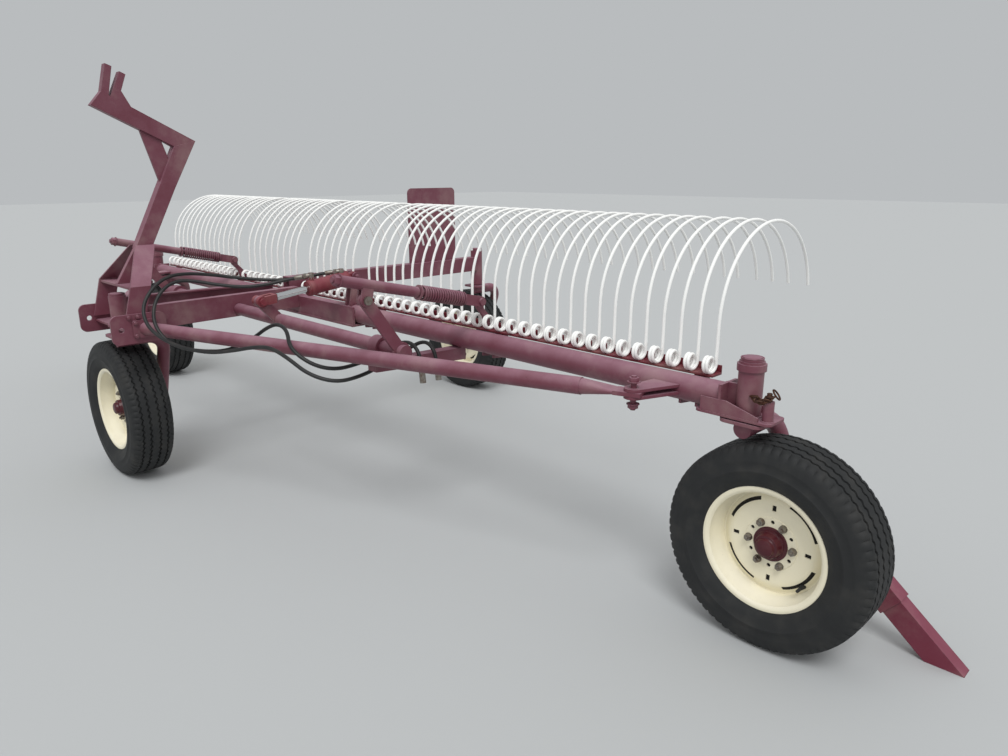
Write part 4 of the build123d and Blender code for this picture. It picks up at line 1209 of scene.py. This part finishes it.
@dataclass
class Fasteners:
    """Bolts, kingpin caps and weld beads on the frame and the castors."""

    layout: Layout
    finishes: Finishes
    # Each group of bolts beside the head: how far out its plate's face is, size, then y and z
    head_bolts: tuple[tuple[float, float, Pairs], ...] = (
        (0.2263, 0.018, ((0.925, 0.856), (0.965, 0.856))),
        (0.2366, 0.017, ((0.858, 0.770), (0.858, 0.830), (0.942, 0.770), (0.942, 0.830))),
    )
    head_bolt_high: float = 0.008
    ear_x: float = 2.05
    ear_y: float = 0.18
    ear_half: float = 0.036
    ear_nut: tuple[float, float] = (0.030, 0.014)
    mount_half: float = 0.030
    mount_nut: tuple[float, float] = (0.024, 0.008)
    cap_top: float = 0.9393
    tail_cap_top: float = 0.9893
    cap: Turned = Turned(0.0, 0.030, 0.003, 28, 0.001)
    cap_seam: tuple[float, float] = (0.0335, 0.0025)
    cap_ripple: float = 0.0012
    shelf_top: float = 0.7552
    head_top: float = 0.7955
    bar_end: float = 2.2805
    lock_x: float = 2.436
    lock_y: float = 0.022
    # Radius, wire, steps, sides and ripple of the beads round kingpins, toolbar and lock tubes
    king_bead: tuple = (0.0405, 0.0042, 72, 6, 0.002)
    bar_bead: tuple = (0.0455, 0.0036, 72, 6, 0.002)
    lock_bead: tuple = (0.0185, 0.003, 36, 6, 0.0015)

    def frame_bolts(self) -> None:
        """Bolt the mast's feet, the brace feet, the brace ears and the cylinder's mount."""
        mesh = bmesh.new()
        lay, at = self.layout, self.layout.at
        for side in (-1, 1):
            for face, across, spots in self.head_bolts:
                for spot in spots:
                    place = at(lay.hitch_x + side * face, *spot)
                    add_hex(mesh, place, X_AXIS * side, across, self.head_bolt_high)
            for up in (1, -1):
                ear = at(side * self.ear_x, self.ear_y, lay.bar_z + up * self.ear_half)
                add_hex(mesh, ear, Z_AXIS * up, *self.ear_nut)
            pin = at(lay.cylinder_x + side * self.mount_half, *lay.cylinder_pin)
            add_hex(mesh, pin, X_AXIS * side, *self.mount_nut)
        add_piece(mesh, "frame_bolts", self.finishes.frame, "frame")

    def kingpin_caps(self) -> None:
        """Cap each kingpin."""
        lay = self.layout
        pins = {
            "near": (-lay.king_x, 0.0, self.cap_top),
            "far": (lay.king_x, 0.0, self.cap_top),
            "front": (lay.hitch_x, lay.hitch_y, self.cap_top),
            "tail": (lay.hitch_x, lay.tail_y, self.tail_cap_top),
        }
        for name, place in pins.items():
            mesh = bmesh.new()
            add_stack(mesh, lay.at(*place), Z_AXIS, [self.cap])
            add_ring(mesh, lay.at(*place), Z_AXIS, *self.cap_seam, ripple=self.cap_ripple)
            add_piece(mesh, f"kingpin_cap_{name}", self.finishes.frame, f"castor_{name}")

    def welds(self) -> None:
        """Run weld beads round the tubes where they meet plates."""
        mesh = bmesh.new()
        lay, at = self.layout, self.layout.at
        for side in (-1, 1):
            add_ring(mesh, at(side * lay.king_x, 0, self.shelf_top), Z_AXIS, *self.king_bead)
            add_ring(mesh, at(side * self.bar_end, 0, lay.bar_z), X_AXIS, *self.bar_bead)
            add_ring(mesh, at(side * self.lock_x, self.lock_y, self.shelf_top), Z_AXIS, *self.lock_bead)
        add_ring(mesh, at(lay.hitch_x, lay.hitch_y, self.head_top), Z_AXIS, *self.king_bead)
        add_piece(mesh, "frame_welds", self.finishes.frame, "frame")

    def build(self) -> None:
        """Build every fastener."""
        self.frame_bolts()
        self.kingpin_caps()
        self.welds()


@dataclass
class LockPins:
    """The castor lock pins at the toolbar's ends, the near one on its short chain."""

    layout: Layout
    finishes: Finishes
    reach: float = 0.076
    y: float = 0.022
    foot: float = 0.752
    top: float = 0.845
    shank_radius: float = 0.0082
    collar: Turned = Turned(-0.016, 0.014, 0.006, 20, 0.001)
    # The pull ring hangs to the outer side of the pin's top
    ring_middle: Spot = (0.016, -0.012, -0.004)
    ring_axis: Spot = (0.75, 0.25, 0.62)
    ring_radius: float = 0.017
    ring_wire: float = 0.003
    links: int = 9
    link_radius: float = 0.0075
    link_wire: float = 0.0028
    link_stretch: float = 1.45
    # How far each link is turned on from the one before, besides the quarter turn, in radians
    link_twist: float = 0.4
    # The chain runs from the pin to the kingpin tube's side, and bows out and down between
    chain_start: Spot = (-0.012, 0.010, -0.004)
    chain_end: Spot = (-0.028, 0.034, 0.832)
    chain_bow: Spot = (-0.006, 0.016, -0.016)

    def build_pins(self) -> None:
        """Build both pins, each with its collar and pull ring."""
        for side in Side:
            x = side.value * (self.layout.king_x + self.reach)
            mesh = bmesh.new()
            shank = Turned(self.foot - self.top, self.shank_radius, self.top - self.foot, 20, 0.001)
            top = self.layout.at(x, self.y, self.top)
            add_stack(mesh, top, Z_AXIS, (shank, self.collar))
            out, forward, up = self.ring_middle
            middle = top + Vector((side.value * out, forward, up))
            axis = Vector((*self.ring_axis[:2], self.ring_axis[2] * side.value))
            add_ring(mesh, middle, axis, self.ring_radius, self.ring_wire, steps=36)
            add_piece(mesh, f"lock_pin_{side.label}", self.finishes.rust, "frame")

    def build_chain(self) -> None:
        """Hang the near pin's chain, link by link."""
        mesh = bmesh.new()
        king_x = -self.layout.king_x
        start = self.layout.at(king_x - self.reach, self.y, self.top) + Vector(self.chain_start)
        end = self.layout.at(king_x, 0, 0) + Vector(self.chain_end)
        way = (end - start).to_track_quat("Z", "Y").to_matrix().to_4x4()
        stretch = Matrix.Diagonal((1, 1, self.link_stretch, 1))
        for number in range(self.links):
            share = (number + 0.5) / self.links
            spot = start.lerp(end, share) + Vector(self.chain_bow) * sin(pi * share)
            turn = Matrix.Rotation(pi / 2 * (number % 2) + self.link_twist * number, 4, "Z")
            first = len(mesh.verts)
            add_ring(mesh, Vector(), Y_AXIS, self.link_radius, self.link_wire, steps=16, sides=6)
            placed = Matrix.Translation(spot) @ way @ turn @ stretch
            bmesh.ops.transform(mesh, verts=mesh.verts[:][first:], matrix=placed)
        add_piece(mesh, "lock_chain", self.finishes.rust, "frame")

    def build(self) -> None:
        """Build the pins and the chain."""
        self.build_pins()
        self.build_chain()


@dataclass
class CylinderTrim:
    """The lift cylinder's gland nut and the weld bead at its butt."""

    layout: Layout
    finishes: Finishes
    gland: Turned = Turned(0.240, 0.0385, 0.024, 40, 0.003)
    bead_along: float = 0.043
    # Radius, wire, steps, sides and ripple
    bead: tuple = (0.0345, 0.004, 60, 6, 0.0016)

    def build(self) -> None:
        """Build the two rings on the barrel."""
        butt = self.layout.at(self.layout.cylinder_x, *self.layout.cylinder_pin)
        clevis = self.layout.at(self.layout.cylinder_x, *self.layout.clevis_pin)
        way = (clevis - butt).normalized()
        mesh = bmesh.new()
        add_stack(mesh, butt, way, [self.gland])
        add_ring(mesh, butt + way * self.bead_along, way, *self.bead)
        add_piece(mesh, "cylinder_gland_nut", self.finishes.cylinder, "barrel")


@dataclass
class Studio:
    """A pale floor, soft light and the photograph's camera."""

    layout: Layout
    floor: Paper = Paper("floor_paper_matt", "#B2B5B6")
    floor_half: float = 40.0
    background: str = "#B9BCBE"
    world_light: float = 0.78
    sun_strength: float = 1.55
    sun_wide: float = 25.0
    sun_tilt: tuple[float, float] = (-24.0, -27.0)
    image_wide: float = 1008.0
    focal_pixels: float = 757.0
    sensor: float = 36.0
    sight: float = 200.0
    eye: Spot = (-3.430, 2.138, 1.493)
    look: tuple[float, float] = (0.7105, -0.7037)
    pitch: float = 15.24
    roll: float = -0.12

    def build_floor(self) -> None:
        """Lay the floor."""
        mesh = bmesh.new()
        bmesh.ops.create_grid(mesh, x_segments=1, y_segments=1, size=self.floor_half)
        data = bpy.data.meshes.new("studio_floor")
        mesh.to_mesh(data)
        mesh.free()
        data.materials.append(self.floor.build())
        ground = add_object("studio_floor", data)

    def build_light(self) -> None:
        """Set the world's soft light and a wide, weak sun."""
        world = bpy.data.worlds.new("studio_world")
        bpy.context.scene.world = world
        world.use_nodes = True
        tree = world.node_tree
        tree.nodes.clear()
        # The camera and mirrors see the backdrop's colour, and all else gets the sky's light
        direct = add_node(tree, "LightPath", output="Is Camera Ray")
        mirrored = add_node(tree, "LightPath", output="Is Glossy Ray")
        seen = add_node(tree, "Math", {"operation": "MAXIMUM"}, {0: direct, 1: mirrored})
        sky = add_node(tree, "Background", {"Color": linear("#FFFFFF"), "Strength": self.world_light})
        shown = add_node(tree, "Background", {"Color": linear(self.background), "Strength": 1.0})
        mixed = add_node(tree, "MixShader", links={0: seen, 1: sky, 2: shown})
        add_node(tree, "OutputWorld", links={0: mixed})
        sun = bpy.data.lights.new("soft_sun", "SUN")
        sun.energy = self.sun_strength
        sun.angle = radians(self.sun_wide)
        lamp = add_object("soft_sun", sun)
        lamp.rotation_euler = (*(radians(tilt) for tilt in self.sun_tilt), 0)

    def build_camera(self) -> None:
        """Stand the camera where the photograph was taken."""
        data = bpy.data.cameras.new("photo_camera")
        data.sensor_width = self.sensor
        data.lens = self.focal_pixels / self.image_wide * self.sensor
        data.clip_end = self.sight
        camera = add_object("photo_camera", data)
        level = Vector((*self.look, 0)).normalized()
        dip = radians(self.pitch)
        forward = level * cos(dip) - Z_AXIS * sin(dip)
        right = forward.cross(Z_AXIS).normalized()
        facing = Matrix((right, right.cross(forward), -forward)).transposed().to_4x4()
        turn = facing @ Matrix.Rotation(radians(self.roll), 4, "Z")
        camera.matrix_world = Matrix.Translation(self.layout.at(*self.eye)) @ turn
        bpy.context.scene.camera = camera

    def build(self) -> None:
        """Build the whole set."""
        self.build_floor()
        self.build_light()
        self.build_camera()
        bpy.context.scene.view_settings.view_transform = "Standard"


def dress_nodes(finishes: Finishes) -> None:
    """Give each carried-over node its finish.

    Args:
        finishes: The built finishes.
    """
    starts = {
        "cylinder_barrel": finishes.cylinder,
        "cylinder_rod": finishes.chrome,
        "tongue_pin": finishes.zinc,
        "tongue": finishes.tongue,
        "lever_pins": finishes.zinc,
        "coupler": finishes.zinc,
        "tyre": finishes.tyre,
        "rim": finishes.rim,
        "tine_bar": finishes.tine,
        "hose": finishes.hose,
    }
    for name, node in frame["nodes"].items():
        material = next((made for start, made in starts.items() if name.startswith(start)), finishes.frame)
        if not node.data.materials:
            node.data.materials.append(material)
        for place in node.material_slots:
            place.material = material


def main() -> None:
    """Build every sub-assembly in order."""
    logging.basicConfig(level=logging.INFO, format="%(name)s: %(message)s")
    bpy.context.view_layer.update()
    layout = Layout.from_frame()
    finishes = Finishes()
    Studio(layout).build()
    Hoses(layout, finishes).build()
    dress_nodes(finishes)
    for name in ("near", "far", "front", "tail"):
        Wheel(name, finishes).build()
    TineRow(Side.NEAR, layout, finishes, start=-2.212, end=0.343, arms=(-2.15, -1.185, -0.33)).build()
    TineRow(Side.FAR, layout, finishes, start=0.457, end=2.212, arms=(0.62, 1.185, 2.15)).build()
    for side in Side:
        LiftSpring(side, layout, finishes).build()
    Fasteners(layout, finishes).build()
    LockPins(layout, finishes).build()
    CylinderTrim(layout, finishes).build()


if __name__ == "__main__":
    main()
